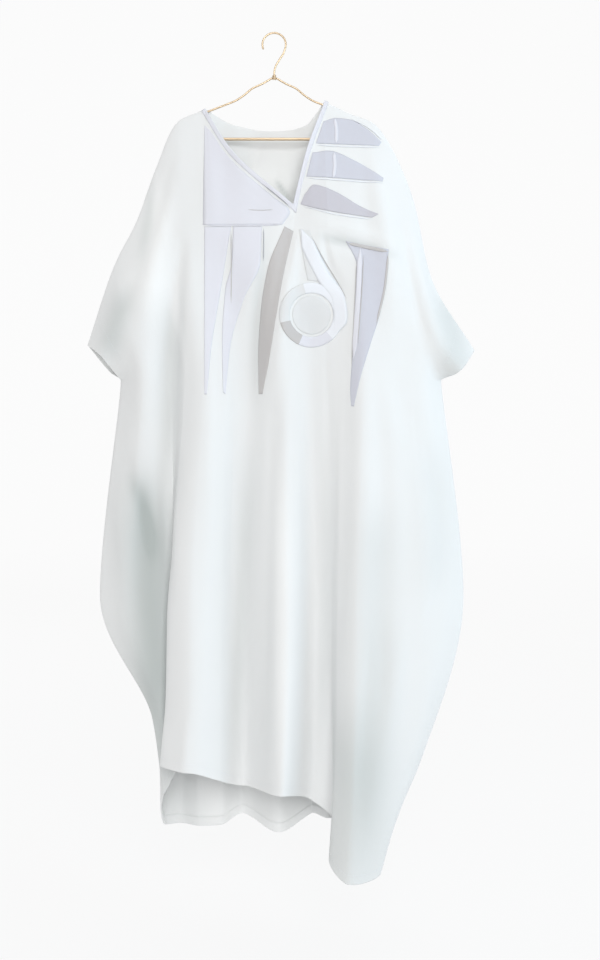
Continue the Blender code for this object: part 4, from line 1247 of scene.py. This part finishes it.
# %% Gold material
def make_gold():
    """Noise stretched along u gives the drawn lines, and a slow noise gives the handled patches."""
    made, tree, shader = new_material("gold_wire")
    shader.inputs["Metallic"].default_value = 0.7
    stretch = tree.nodes.new("ShaderNodeMapping")
    stretch.inputs["Scale"].default_value = (20, 900, 1)
    tree.links.new(cloth_place(tree)[0], stretch.inputs[0])
    lines = add_noise(tree, stretch.outputs[0], 1.0)
    body = tree.nodes.new("ShaderNodeTexCoord")
    patches = add_noise(tree, body.outputs["Object"], 25.0)
    colour = mix_colours(tree, patches, (0.72, 0.57, 0.39, 1), (0.60, 0.46, 0.31, 1))
    tree.links.new(colour, shader.inputs["Base Color"])
    tree.links.new(scaled(tree, lines, 0.18, 0.26), shader.inputs["Roughness"])
    add_bump(tree, shader, lines, 0.2, 0.00005)
    return made


gold = make_gold()

# %% Hanger pieces
WIRE_RADIUS, BAR_RADIUS, COIL_WIRE = 0.002, 0.003, 0.0012
HOOK_RADIUS, HOOK_Z = 0.024, -0.022
BAR_END, BAR_Z = 0.194, -0.2158
COIL_RADIUS, COIL_TOP, COIL_FALL, COIL_TURNS = 0.0030, -0.0852, 0.0086, 4
STEM = [(0.0192, -0.0400), (0.0135, -0.0490), (0.0084, -0.0570), (0.0034, -0.0660), (0.0008, -0.0750),
        (0.0, -0.0842)]
ARM = [(0.0054, -0.0914), (0.0240, -0.1022), (0.0450, -0.1122), (0.0620, -0.1260), (0.0800, -0.1375),
       (ARM_X, ARM_Z), (0.184, -0.1791), (0.190, -0.1825), (BAR_END, -0.1900), (BAR_END, -0.2125)]


def in_wire_plane(points, count=None):
    """Points (x, z) as (x, 0, z), on the smooth curve through them where a count is given."""
    points = np.asarray(points, float)
    if count:
        points = smooth(points, np.linspace(0, len(points) - 1, count))
    return np.stack([points[:, 0], np.zeros(len(points)), points[:, 1]], axis=1)


def closed_tube(name, node, path, radius, sides=16):
    """The tube of a path as a piece of the hanger, with a face over each end."""
    grid = tube_grid(path, radius, sides)
    rows, columns = grid.shape[:2]
    round_it = np.broadcast_to(np.arange(columns) / columns, (rows, columns))
    piece = grid_piece(name, grid, np.stack([lengths_along(grid, 0), round_it * 0.01], axis=-1), closed=True)
    face_outward(piece.data, [range(columns), range((rows - 1) * columns, rows * columns)])
    piece.data.materials.append(gold)
    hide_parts(node)
    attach(piece, "root")
    return piece


arc_turn = np.radians(np.linspace(200, -20, 45))
arc = np.stack([HOOK_RADIUS * np.cos(arc_turn), HOOK_Z + HOOK_RADIUS * np.sin(arc_turn)], axis=1)
stem = in_wire_plane([tuple(arc[-1])] + STEM, 34)[1:]
hook = np.concatenate([in_wire_plane(arc), stem])
arm = in_wire_plane(ARM, 90)
bar = [(x, 0, BAR_Z) for x in np.linspace(-BAR_END, BAR_END, 40)]
twist = np.linspace(0, 1, 140)
coil_turn = twist * COIL_TURNS * 2 * np.pi
coil = np.stack([COIL_RADIUS * np.cos(coil_turn), COIL_RADIUS * np.sin(coil_turn),
                 COIL_TOP - COIL_FALL * twist], axis=1)
hanger = [
    closed_tube("hook_wire", "hook", hook, WIRE_RADIUS),
    closed_tube("arm_wire_right", "hanger_arm_right", arm, WIRE_RADIUS),
    closed_tube("arm_wire_left", "hanger_arm_left", arm * [-1, 1, 1], WIRE_RADIUS),
    closed_tube("bottom_bar", "hanger_bar", bar, BAR_RADIUS),
    closed_tube("twisted_collar", "hanger_collar", coil, COIL_WIRE, 10),
]
print("hanger pieces:", len(hanger))

# %% [markdown]
# Each panel was cut flat before it was hung. Their flat sizes are the widths and lengths along the cloth.

# %% [markdown]
# ## Studio
# The robe hangs over a pale floor that curves up into a wall all round. The paper glows a little by itself,
# more behind the robe than in front of it, so that the ground stays an even white as in a catalogue photo.
# One large soft light stands in front, a smaller bluish one on the right, and a weak one behind.

# %% Floor
FLOOR_Z = -1.86
FLOOR_RADIUS, WALL_BEND, WALL_TOP, FLOOR_COLUMNS = 7, 2, 11.0, 96


def studio_floor():
    """A disc that rises in a quarter round at its rim: one profile of radius and height, turned about z."""
    bend = np.linspace(0, np.pi / 2, 16)
    rim = FLOOR_RADIUS + WALL_BEND
    radius = np.concatenate([[0.3, 3, 6], FLOOR_RADIUS + WALL_BEND * np.sin(bend), [rim, rim]])
    height = np.concatenate([[0, 0, 0], WALL_BEND * (1 - np.cos(bend)), [6.0, WALL_TOP]]) + FLOOR_Z
    turn = np.linspace(0, 2 * np.pi, FLOOR_COLUMNS, endpoint=False)[None, :]
    grid = np.stack([radius[:, None] * np.cos(turn), radius[:, None] * np.sin(turn),
                     np.broadcast_to(height[:, None], (len(radius), FLOOR_COLUMNS))], axis=-1)
    return grid_piece("studio_floor", grid, grid[..., :2].copy(), closed=True, pole=True)


def make_paper():
    """Matt white paper with a glow of its own, brighter behind the robe (high y) than in front of it."""
    made, tree, shader = new_material("studio_paper")
    shader.inputs["Base Color"].default_value = (0.12, 0.12, 0.12, 1)
    shader.inputs["Roughness"].default_value = 1.0
    shader.inputs["Specular IOR Level"].default_value = 0.0
    shader.inputs["Emission Strength"].default_value = 1.0
    place = tree.nodes.new("ShaderNodeTexCoord")
    parts = tree.nodes.new("ShaderNodeSeparateXYZ")
    tree.links.new(place.outputs["Object"], parts.inputs[0])
    y = parts.outputs[1]
    behind = calculate(tree, "MULTIPLY", calculate(tree, "ADD", y, 2.5), 0.4)
    behind = calculate(tree, "MINIMUM", calculate(tree, "MAXIMUM", behind, 0.0), 0.92)
    behind = scaled(tree, calculate(tree, "MAXIMUM", y, 0.0), 0.009, behind)
    glow = mix_colours(tree, behind, (0.31, 0.31, 0.31, 1), (0.868, 0.868, 0.868, 1))
    tree.links.new(glow, shader.inputs["Emission Color"])
    return made


floor = studio_floor()
floor.data.materials.append(make_paper())
print("floor at", FLOOR_Z)

# %% Lights
Light = namedtuple("Light", "name place target size power colour")
LIGHTS = [
    Light("window_front", (0.5, -3.8, 0.5), (0, 0, -0.8), 2.0, 90, (1.0, 1.0, 1.0)),
    Light("window_right", (2.8, -0.9, -0.2), (0, 0, -0.9), 1.5, 22, (0.50, 0.80, 1.0)),
    Light("window_back", (-1.6, 2.8, 0.6), (0, 0, -0.9), 2.0, 12, (1.0, 1.0, 1.0)),
]
WORLD_STRENGTH = 0.9
for light in LIGHTS:
    data = bpy.data.lights.new(light.name, "AREA")
    data.shape = "SQUARE"
    data.size = light.size
    data.energy = light.power
    data.color = light.colour
    lamp = bpy.data.objects.new(light.name, data)
    lamp.location = light.place
    toward = Vector(np.subtract(light.target, light.place))
    lamp.rotation_euler = toward.to_track_quat("-Z", "Y").to_euler()
    bpy.context.scene.collection.objects.link(lamp)
world = bpy.data.worlds.new("studio")
bpy.context.scene.world = world
world.use_nodes = True
backdrop = world.node_tree.nodes["Background"]
backdrop.inputs["Color"].default_value = (1, 1, 1, 1)
backdrop.inputs["Strength"].default_value = WORLD_STRENGTH
bpy.context.scene.view_settings.view_transform = "Standard"
print("lights:", len(LIGHTS))
